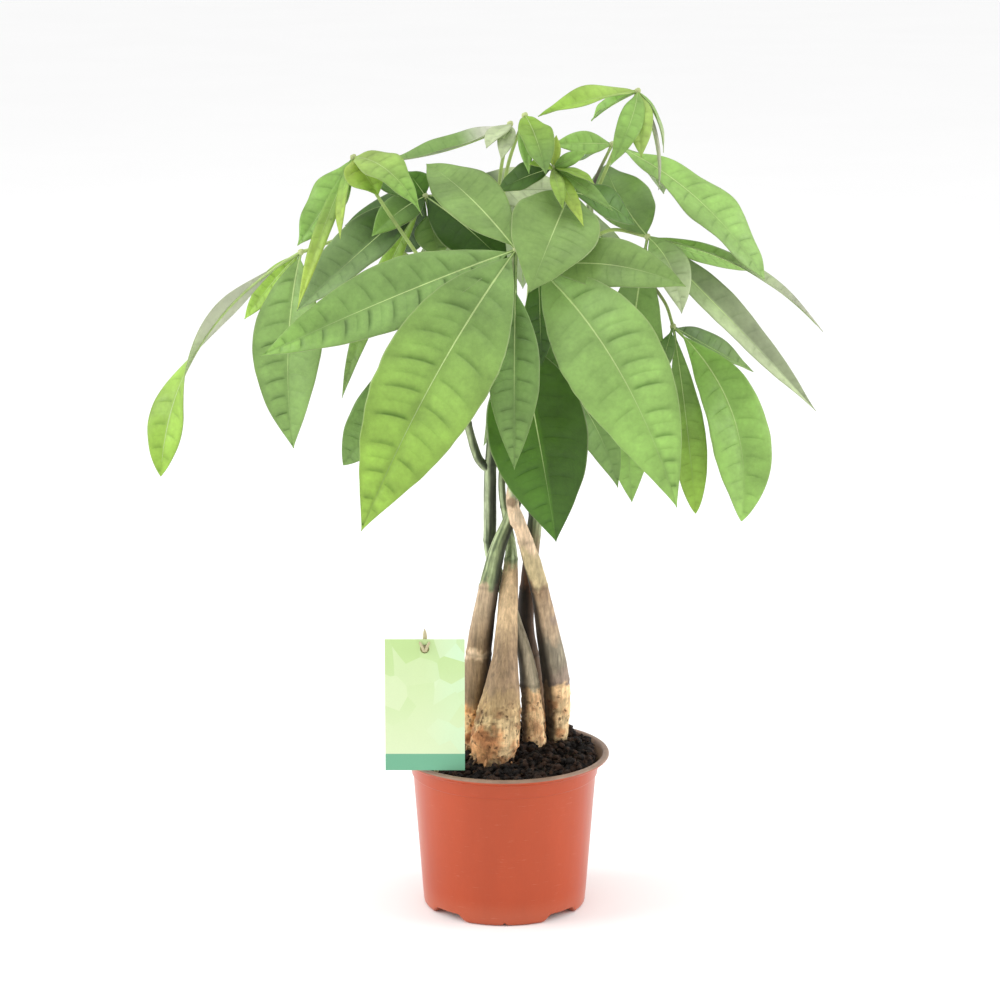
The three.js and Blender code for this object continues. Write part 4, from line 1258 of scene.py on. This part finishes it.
        rings = route.rings(steps)
        for v in work.rod(rings, self.SIDES, shape, lambda place: Vector((1, 1, 1))):
            place = v.co / MM
            local = place - min(rings, key=lambda ring: (ring.centre - place).length_squared).centre
            level = self._shade(place, local.normalized())
            near = min(abs(place.z + 1.2 * rough(place, 7) - s) for s in self.scars)
            v[work.cork] = ramp(self.cork + 8, self.cork - 8, place.z)
            scarred = mix(self.SCAR_DARK, 1, min(near / self.SCAR_REACH, 1))
            v[work.tint] = rgba(self.colour(place, local) * level * scarred)

    def _roots(self, work: Workpiece) -> None:
        """Adds the short roots that leave the foot of the trunk at the soil."""
        luck = random.Random(self.name)
        foot = min(Route(self.stations).rings(200), key=lambda ring: abs(ring.centre.z - self.SOIL))

        def gnarled(row: int, angle: float, ring: Ring) -> float:
            """Makes a root uneven."""
            return ring.radius * luck.uniform(0.85, 1.15)

        for i in range(self.ROOTS):
            angle = 2 * math.pi * (i + luck.uniform(-0.4, 0.4)) / self.ROOTS
            way = Vector((math.cos(angle), math.sin(angle), 0))
            reach, thick = luck.uniform(*self.ROOT_REACH), luck.uniform(*self.ROOT_THICK)
            start = foot.centre + way * (foot.radius - 0.8) + UP * luck.uniform(0.5, 3.0)
            bend = foot.centre + way * (foot.radius + 0.5 + reach * 0.4) + UP * luck.uniform(-1.5, 1)
            end = foot.centre + way * (foot.radius + reach) - UP * luck.uniform(3, 5)
            route = Route(((*start, thick), (*bend, thick * 0.9), (*end, thick * 0.4)))
            tone = paint(luck.choice((Bark.CORK, Bark.PEACH, Bark.UMBER)).value) * luck.uniform(0.6, 1.0)
            for v in work.rod(route.rings(6), 7, gnarled, lambda place: tone):
                v[work.cork] = self.ROOT_CORK

    def build(self, bark: Material) -> Piece:
        """Makes the trunk."""
        work = Workpiece()
        self._limb(work, self.stations)
        if self.fork:
            self._limb(work, self.fork)
        self._roots(work)
        return work.finish(f"fine_{self.name}", self.name, "bark", [bark])


B = Bark
TRUNKS = (
    Trunk("trunk_left", (
        (-22, 6, 64, 5), (-20, 6, 84, 7.5), (-19.3, 5, 106, 7.3), (-18, 4, 121, 6.5),
        (-15.5, 3.5, 140, 7.6), (-13.7, 2.5, 156, 7), (-10.3, 1.3, 178, 5.9), (-8, 1, 191, 5.4),
        (-3.7, 1.8, 209, 4.4), (3.1, 3, 226, 3.6), (9, 2, 244, 3.2), (17, 0, 268, 3), (31, 2, 305, 2.7),
        (43, 6, 345, 2.5), (47, 7, 380, 2.3), (47, 6, 406, 2.1),
    ), ((88, B.PEACH), (112, B.CORK), (122, B.TAN), (144, B.TAN), (148, B.PINK_TAN), (152, B.TAN),
        (176, B.PALE_TAN), (186, B.PALE_TAN), (191, B.STRIPED), (215, B.STRIPED), (260, B.SHOOT)),
        cork=116, scars=(147, 186, 238, 262, 283, 306, 331, 352, 368, 384, 392), shade=0.94, shaded=0.4,
        axis=(20, -16),
        patches=((-19, 98, 5, B.RUST), (-22, 108, 5, B.PEACH), (-18, 148, 4, B.PINK_TAN))),
    Trunk("trunk_front", (
        (-6, -13, 66, 9), (-6.4, -13, 86, 11.2), (-5.6, -13, 100, 13.9), (-3, -12.6, 116, 12.2),
        (-1.2, -11.5, 133, 9.5), (0.3, -9, 149, 7), (1.4, -5, 167, 5.9), (2.3, 0, 182, 5.4),
        (3.4, 5, 196, 4.2), (3.7, 9, 207, 3.1), (1.4, 12, 222, 2.3), (-1.5, 13.5, 240, 2),
        (-0.5, 16.5, 262, 2), (3, 22, 300, 2), (5, 27, 340, 2), (5, 31, 374, 1.9),
    ), ((88, B.CORK), (104, B.CORK), (111, B.FIBRE), (127, B.FIBRE), (134, B.TAN), (150, B.TAN),
        (176, B.BUFF), (194, B.BUFF), (202, B.STRIPED)),
        cork=122, scars=(201, 230, 262, 300, 345, 368), shade=0.6,
        patches=((-12, 103, 9, B.RUST), (3.5, 105, 7, B.GOLD), (1, 96, 5, B.GOLD), (-16, 96, 6, B.CORK))),
    Trunk("trunk_middle", (
        (17, 7, 66, 5), (17, 7, 88, 6.6), (16.4, 8, 107, 6.6), (14.9, 9, 124, 5.7), (11.7, 10, 144, 4.4),
        (6.6, 11, 161, 3.8), (1.8, 13, 176, 3.5), (-3.8, 15, 190, 3.5), (-8, 16, 204, 3.5),
        (-8.3, 16, 222, 3.7), (-8.2, 15, 245, 3.6), (-7.6, 14, 262, 3.1), (-5, 11, 292, 2.7),
        (-2, 5, 335, 2.5), (-3, 2, 375, 2.3), (-4, 1, 408, 2.1),
    ), ((88, B.PEACH), (124, B.PEACH), (127, B.LICHEN), (160, B.LICHEN), (185, B.SHOOT),
        (222, B.PALE_SHOOT), (300, B.SHOOT)),
        cork=124, scars=(127, 210, 254, 278, 305, 340, 366, 390), shade=0.85, shaded=0.32, axis=(0, 0),
        fork=(
        (-9, 14.5, 252, 2.6), (-14.2, 14, 257, 2.6), (-17, 13.5, 264, 2.5), (-19, 13, 271, 2.3),
        (-22.5, 13, 285, 2.3), (-30, 13, 315, 2.3), (-35, 14, 350, 2.2), (-36, 15, 378, 2),
    )),
    Trunk("trunk_right", (
        (30, 14, 66, 4.5), (30, 14, 88, 5.6), (30.4, 13, 101, 6.6), (30.4, 12, 116, 7.5),
        (29.4, 11, 129, 7.8), (27.4, 9, 143, 7.5), (25.6, 8, 153, 7), (21.2, 3, 178, 5.3),
        (18.4, 0, 191, 5.1), (15.4, -2, 202, 5.1), (8.2, -5, 225, 3.6), (4.2, -5, 236, 3.3),
        (4.5, -4, 247, 2.8), (9, -4, 268, 2.5), (11, -8, 312, 2.4), (12, -16, 352, 2.2),
    ), ((88, B.GOLD), (126, B.PEACH), (129, B.DUSKY), (141, B.OLIVE), (150, B.OLIVE), (160, B.PALE_TAN),
        (184, B.TAN), (190, B.STRAW), (205, B.STRAW), (214, B.PINK_TAN), (238, B.PINK_TAN),
        (245, B.PALE_SHOOT)),
        cork=122, scars=(128, 186, 214, 268, 300, 330), shade=0.9, shaded=0.0, axis=(6, 2),
        patches=((27, 116, 4, B.CORK), (26, 104, 4, B.UMBER), (32, 98, 4, B.CORK), (29, 167, 4, B.DUSKY),
                 (8, 229, 5, B.SCAR), (4, 238, 4, B.UMBER)),
        knots=((7, 226, 3.4), (4.5, 232, 3), (6.5, 238, 2.8), (3, 227, 2.6))),
    Trunk("trunk_back", (
        (20, 27, 66, 5.5), (20, 27, 90, 6.8), (18, 27, 112, 6.2), (14.7, 25.5, 137, 5.6), (12, 23, 158, 5),
        (14.6, 18, 195, 4.3), (16.8, 16, 216, 4.2), (20, 15, 250, 3.4), (24, 16, 290, 3),
        (27, 13, 340, 2.7), (31, 1, 385, 2.4), (34, -10, 406, 2.1),
    ), ((88, B.CORK), (112, B.UMBER), (158, B.SHADE), (176, B.SHADE), (185, B.AMBER), (191, B.AMBER),
        (200, B.UMBER), (230, B.SHOOT)),
        cork=112, scars=(140, 180, 226, 262, 300, 332, 362, 380, 395)),
)


# ---------------------------------------------------------------- pot, soil and label


@dataclass(frozen=True)
class Pot:
    """The nursery pot, in millimetres: a tapered cup with a band and a rolled lip, on four feet.

    drain: the height of the channels between the feet. drain_from: how far out they start. drain_slope: the
    degrees from a channel's middle to where its roof starts, and to where it is full. slit: the height of
    the notch in the middle of each foot. hole: how far out each drain hole starts and ends. hole_half: half
    its angle in degrees.
    """

    rim: float = 60
    mouth: float = 56.6
    shoulder: float = 52.4
    foot: float = 46.5
    height: float = 90
    band: float = 13
    wall: float = 1.2
    floor: float = 1.6
    drain: float = 4.2
    drain_from: float = 20
    slit: float = 1.8
    hole: tuple[float, float] = (37.5, 42.5)
    drain_slope: tuple[float, float] = (18, 10)
    hole_half: float = 5
    sectors: int = 288

    UNDER = 12  # the floor and its channels lie below this height

    def outside(self) -> list[tuple[float, float]]:
        """Returns the profile from the middle of the underside out and up to the lip's edge."""
        lip, shoulder = self.height - 1.6, self.height - self.band
        foot, waist, rim = self.foot, self.shoulder, self.rim
        return [
            (0, 0), (self.drain_from, 0), (self.drain_from + 0.6, 0), (self.hole[0], 0), (self.hole[1], 0),
            (foot - 2, 0), (foot - 0.7, 0.45), (foot - 0.1, 1.3), (foot + 0.15, 2.2), (foot + 0.35, 5),
            (foot + 0.7, 9), (waist, shoulder), (waist + 0.15, shoulder + 0.35),
            (waist + 0.75, shoulder + 0.7), (waist + 0.9, shoulder + 1.1), (waist + 1.9, lip - 4),
            (waist + 2.5, lip - 2.9), (waist + 3.6, lip - 2.1), (rim - 1.4, lip - 1.1),
            (rim - 0.5, lip - 0.6), (rim, lip),
        ]

    def inside(self) -> list[tuple[float, float]]:
        """Returns the profile from the lip's edge over and down to the middle of the floor."""
        top, floor, rim, mouth, waist = self.height, self.floor, self.rim, self.mouth, self.shoulder
        lip, foot, drain = top - 1.6, self.foot - self.wall, self.drain_from - self.wall
        return [
            (rim, top - 1.0), (rim - 0.3, top - 0.4), (rim - 0.9, top), (mouth + 0.5, top),
            (mouth, top - 0.3), (mouth - 0.6, top - 1.2), (waist + 1.6, lip - 2.6), (waist + 0.9, lip - 4),
            (waist + 0.5, lip - 5), (waist - self.wall, top - self.band), (foot, floor + 3),
            (foot - 1, floor + 0.9), (foot - 2, floor), (self.hole[1], floor), (self.hole[0], floor),
            (drain, floor), (drain - 0.6, floor), (0, floor),
        ]

    def lift(self, degrees: float) -> float:
        """Returns how high a drain's roof is over the ground at an angle about the pot."""
        off = abs(degrees % 90 - 45)
        return self.drain * ramp(*self.drain_slope, off)

    def build(self, shell: Material) -> Piece:
        """Makes the pot: turned in one piece, then raised over the drains and pierced."""
        work = Workpiece()
        bm = work.bm
        outside, inside = self.outside(), self.inside()
        verts = [bm.verts.new((r * MM, 0, z * MM)) for r, z in outside + inside]
        for v in verts[len(outside) :]:
            v[work.lining] = 1.0
        lines = [bm.edges.new(pair) for pair in zip(verts, verts[1:])]
        bmesh.ops.spin(
            bm, geom=verts + lines, cent=(0, 0, 0), axis=(0, 0, 1), dvec=(0, 0, 0),
            angle=2 * math.pi, steps=self.sectors, use_merge=True,
        )
        inner = [v for v in bm.verts if v.co.xy.length < 0.1 * MM]
        bmesh.ops.remove_doubles(bm, verts=inner, dist=0.1 * MM)
        for v in bm.verts:
            self._raise(v, v[work.lining] > 0.5)
        self._pierce(bm)
        return work.finish("terracotta_pot", "pot", "pot", [shell], sharp=50)

    def _raise(self, v: Vert, inner: bool) -> None:
        """Lifts a vertex of the underside or floor over a drain, and notches the middle of each foot."""
        degrees = math.degrees(math.atan2(v.co.y, v.co.x))
        radius, height = v.co.xy.length / MM, v.co.z / MM
        roof = self.lift(degrees)
        if inner and height < self.floor + 3.1 and radius > self.drain_from - self.wall - 0.1:
            v.co.z = max(height, roof + self.wall if roof > 0.4 else 0) * MM
        if not inner and height < 5.1 and radius > self.drain_from + 0.1:
            middle = abs((degrees + 45) % 90 - 45)
            slit = self.slit * ramp(1.6, 0.9, middle) if radius > self.foot - 5 else 0
            v.co.z = max(height, max(roof, slit) + 0.12 * height) * MM

    def _pierce(self, bm: bmesh.types.BMesh) -> None:
        """Cuts a hole through each drain's roof."""
        for quarter in range(4):
            middle = 45 + 90 * quarter

            def inside_hole(face: bmesh.types.BMFace) -> bool:
                """Tells whether a face lies in this hole."""
                centre = face.calc_center_median()
                off = (math.degrees(math.atan2(centre.y, centre.x)) - middle + 180) % 360 - 180
                radius = centre.xy.length / MM
                low = centre.z < self.UNDER * MM
                return low and abs(off) < self.hole_half and self.hole[0] < radius < self.hole[1]

            cut = [f for f in bm.faces if inside_hole(f)]
            rims = {e for f in cut for e in f.edges if not all(g in cut for g in e.link_faces)}
            bmesh.ops.delete(bm, geom=cut, context="FACES_ONLY")
            bmesh.ops.bridge_loops(bm, edges=list(rims))


@dataclass(frozen=True)
class Soil:
    """The potting mix, in millimetres: heaped against the trunks, with crumbs and bits of bark on top."""

    pot: Pot = field(default_factory=Pot)
    level: float = 86
    heap: float = 5
    grain: float = 1.1
    gap: float = 0.3
    flare: float = 1.4  # how much wider the top is than the pot at its shoulder
    raised: float = 2.2  # how far over the drains it ends
    cells: int = 120
    crumbs: int = 4096
    crumb_size: tuple[float, float] = (0.5, 2.3)  # the smallest, and what the largest has more
    chips: float = 0.06  # the share of the crumbs that are long
    chip_size: tuple[float, float] = (0.4, 0.8)

    def surface(self, x: float, y: float) -> float:
        """Returns the height of the soil."""
        out = math.hypot(x, y) / self.pot.mouth
        waves = self.grain * (math.sin(0.41 * x + 1.3) * math.cos(0.37 * y) + math.sin(0.23 * (x - y)))
        full = self.heap * (1 - out * out) + 0.05 * x + 0.09 * y + waves
        spot = Vector((x, y, 0))
        clods = 2.4 * rough(spot, 7) + 1.6 * rough(spot + Vector((40, 9, 3)), 3.2)
        inland = min(max((1 - out) * 6, 0), 1)
        return self.level + mix(0.6, full, inland) + clods * inland

    def build(self, mix_finish: Material) -> Piece:
        """Makes the soil: its top from a round grid, its sides down into the pot, then the crumbs."""
        work = Workpiece()
        bm = work.bm
        edge = self.pot.shoulder - self.pot.wall - self.gap + self.flare
        for v, column, row in work.grid(self.cells, self.cells):
            u, w = 2 * column / self.cells - 1, 2 * row / self.cells - 1
            x, y = edge * u * math.sqrt(1 - w * w / 2), edge * w * math.sqrt(1 - u * u / 2)
            v.co = Vector((x, y, self.surface(x, y))) * MM
        levels = (
            (self.pot.shoulder - self.pot.wall - self.gap, self.pot.height - self.pot.band),
            (self.pot.foot - self.pot.wall - self.gap, self.pot.drain + self.raised),
        )
        ring = [e for e in bm.edges if e.is_boundary]
        for radius, height in levels:
            grown = bmesh.ops.extrude_edge_only(bm, edges=ring)["geom"]
            ring = [g for g in grown if isinstance(g, bmesh.types.BMEdge)]
            for v in (g for g in grown if isinstance(g, Vert)):
                flat = Vector((v.co.x, v.co.y, 0)).normalized() * radius
                v.co = Vector((flat.x, flat.y, height)) * MM
        bmesh.ops.holes_fill(bm, edges=ring, sides=0)
        self._crumble(work)
        return work.finish("potting_mix", "soil", "soil", [mix_finish])

    def _crumble(self, work: Workpiece) -> None:
        """Strews crumbs over the surface, all copied from one and reshaped at random."""
        loose, luck = bmesh.new(), random.Random(41)
        corners = len(bmesh.ops.create_icosphere(loose, subdivisions=1, radius=1.0)["verts"])
        while len(loose.verts) < corners * self.crumbs:
            bmesh.ops.duplicate(loose, geom=loose.verts[:] + loose.edges[:] + loose.faces[:])
        loose.verts.ensure_lookup_table()
        for first in range(0, len(loose.verts), corners):
            angle, out = luck.uniform(0, 2 * math.pi), (self.pot.shoulder - 1.2) * math.sqrt(luck.random())
            x, y = out * math.cos(angle), out * math.sin(angle)
            long = luck.random() < self.chips
            least, more = self.crumb_size
            size = luck.uniform(*self.chip_size) if long else least + more * luck.random() ** 3
            stretch = luck.uniform(3, 6) if long else luck.uniform(0.9, 1.5)
            turn = Quaternion((luck.gauss(0, 0.15), 0, 1), luck.uniform(0, 6.3))
            middle = Vector((x, y, self.surface(x, y) + luck.uniform(-0.3, 0.7) * size))
            for v in loose.verts[first : first + corners]:
                shape = Vector((v.co.x * stretch, v.co.y, v.co.z * 0.85)) * size * luck.uniform(0.65, 1.2)
                v.co = (middle + turn @ shape) * MM
        mesh = bpy.data.meshes.new("crumbs")
        loose.to_mesh(mesh)
        loose.free()
        work.bm.from_mesh(mesh)
        bpy.data.meshes.remove(mesh)


@dataclass(frozen=True)
class Label:
    """The hang tag's stake, in millimetres: a rod behind the card, with a peg through the card's hole.

    corner, lean, height and thickness: the card, which is the solid itself. hole_drop: how far its hole
    is from its top. radius and hook: the radii of the rod and of the peg. boss: the back and front radius
    and the depth of the boss that stops the card. gap: what the rod keeps from the card.
    """

    corner: Point = (-44.5, -44, 91.8)
    lean: float = 0.02
    height: float = 75.5
    thickness: float = 0.7
    hole_drop: float = 5.5
    radius: float = 1.3
    hook: float = 0.9
    boss: tuple[float, float, float] = (3.4, 3.1, 1.0)
    gap: float = 0.3

    def on_card(self, x: float, y: float, z: float, radius: float) -> Station:
        """Returns a station given across, up and out from the card."""
        place = Matrix.Rotation(math.pi / 2 - self.lean, 3, "X") @ Vector((x, y, z)) + Vector(self.corner)
        return (place.x, place.y, place.z, radius)

    def build(self, plastic: Material, card: Material) -> Piece:
        """Makes the stake and dresses the card."""
        back, hole = -(self.radius + self.gap), self.height - self.hole_drop
        rod = Route((
            (-38, -24, 60, self.radius),
            (-39, -29, 92, self.radius),
            self.on_card(1, self.height * 0.45, back - 3, self.radius),
            self.on_card(0, self.height + 6, back, self.radius),
        ))
        peg = Route((
            self.on_card(0, hole - 2.6, back, self.hook),
            self.on_card(0, hole - 1.2, back + 1, self.hook),
            self.on_card(0, hole - 0.8, self.thickness + 1.2, self.hook),
        ))
        prongs = [
            Route((
                self.on_card(0, hole - 1.6, self.thickness + 1.0, self.hook),
                self.on_card(side * 1.3, hole + 1.4, self.thickness + 1.1, self.hook * 0.95),
                self.on_card(side * 2.9, hole + 4.6, self.thickness + 1.2, self.hook * 0.7),
            ))
            for side in (-1, 1)
        ]
        work = Workpiece()
        for route, steps in ((rod, 60), (peg, 30), *((prong, 16) for prong in prongs)):
            work.rod(route.rings(steps), 16, self._round(steps), lambda place: Vector((1, 1, 1)))
        self._boss(work, hole, back)
        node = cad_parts["label_card"]
        node.material_slots[0].material = card
        log.info("label_card: dressed")
        return work.finish("cream_stake", "label_stake", "label_stake", [plastic])

    def _boss(self, work: Workpiece, hole: float, back: float) -> None:
        """Adds the round boss on the rod that stops the card's hole."""
        x, y, z, _ = self.on_card(0, hole, back + self.radius * 0.55, 0)
        turn = Matrix.Rotation(math.pi / 2 - self.lean, 4, "X")
        place = Matrix.Translation(Vector((x, y, z)) * MM) @ turn
        back, front, depth = (size * MM for size in self.boss)
        bmesh.ops.create_cone(
            work.bm, cap_ends=True, segments=32, radius1=back, radius2=front, depth=depth, matrix=place
        )

    def _round(self, steps: int) -> Callable[[int, float, Ring], float]:
        """Returns the radius of a rod with rounded ends."""
        return lambda row, angle, ring: ring.radius * min(1, (min(row, steps - row) / 2) ** 0.5)


# ---------------------------------------------------------------- studio


@dataclass(frozen=True)
class Studio:
    """The floor, lights and camera, in metres."""

    floor: float = 40
    camera_at: Point = (-0.0026, -1.7785, 0.6346)
    camera_pitch: float = 77.4
    lens: float = 116.28
    sensor: float = 36
    sky: float = 1.0
    aim: Point = (0, 0, 0.25)  # what the lamps point at
    lamps: tuple[tuple[str, Point, float, float], ...] = (  # name, place, size and power
        ("left_softbox", (-1.9, -0.25, 1.1), 1.3, 25),
        ("right_softbox", (1.9, -0.2, 1.0), 1.2, 18),
        ("top_softbox", (0.0, 0.1, 2.2), 1.4, 7),
    )

    def _light(self, name: str, place: Point, size: float, power: float) -> None:
        """Adds a soft square light that looks at the plant."""
        light = bpy.data.lights.new(name, "AREA")
        light.size, light.energy = size, power
        lamp = bpy.data.objects.new(name, light)
        aim = Vector(self.aim) - Vector(place)
        lamp.matrix_world = Matrix.Translation(place) @ aim.to_track_quat("-Z", "Y").to_matrix().to_4x4()
        bpy.context.scene.collection.objects.link(lamp)

    def build(self, effects: Effects) -> None:
        """Makes the studio."""
        scene = bpy.context.scene
        mesh = bpy.data.meshes.new("studio_floor")
        bm = bmesh.new()
        bmesh.ops.create_grid(bm, x_segments=8, y_segments=8, size=self.floor)
        bm.to_mesh(mesh)
        bm.free()
        mesh.materials.append(FloorFinish().material(effects))
        floor = bpy.data.objects.new("studio_floor", mesh)
        scene.collection.objects.link(floor)
        world = bpy.data.worlds.new("studio_sky")
        world.use_nodes = True
        sky = world.node_tree.nodes["Background"]
        sky.inputs["Color"].default_value = (1, 1, 1, 1)
        sky.inputs["Strength"].default_value = self.sky
        scene.world = world
        for lamp in self.lamps:
            self._light(*lamp)
        camera = bpy.data.cameras.new("photo_camera")
        camera.lens, camera.sensor_width = self.lens, self.sensor
        eye = bpy.data.objects.new("photo_camera", camera)
        eye.location = self.camera_at
        eye.rotation_euler = (math.radians(self.camera_pitch), 0, 0)
        scene.collection.objects.link(eye)
        scene.camera = eye
        scene.view_settings.view_transform = "Standard"
        log.info("studio ready")


def main() -> None:
    """Builds every piece in order and reports each."""
    logging.basicConfig(level=logging.INFO, format="%(message)s")
    effects = Effects()
    Studio().build(effects)
    leaf_finishes = {
        "leaf": LeafFinish("leaf_skin", gloss=0.42, crease=0.8, relief=0.5, glow=0.3),
        "leaf_young": LeafFinish("young_leaf_skin", gloss=0.46, crease=0.4, relief=0.3, glow=0.4),
    }
    materials = {slot: finish.material(effects) for slot, finish in leaf_finishes.items()}
    for seed, leaf in enumerate(LEAVES):
        leaf.build(materials, seed)
    bark = BarkFinish().material(effects)
    for trunk in TRUNKS:
        trunk.build(bark)
    Pot().build(PotFinish().material(effects))
    Soil().build(SoilFinish().material(effects))
    Label().build(StakeFinish().material(effects), CardFinish().material(effects))


if __name__ == "__main__":
    main()
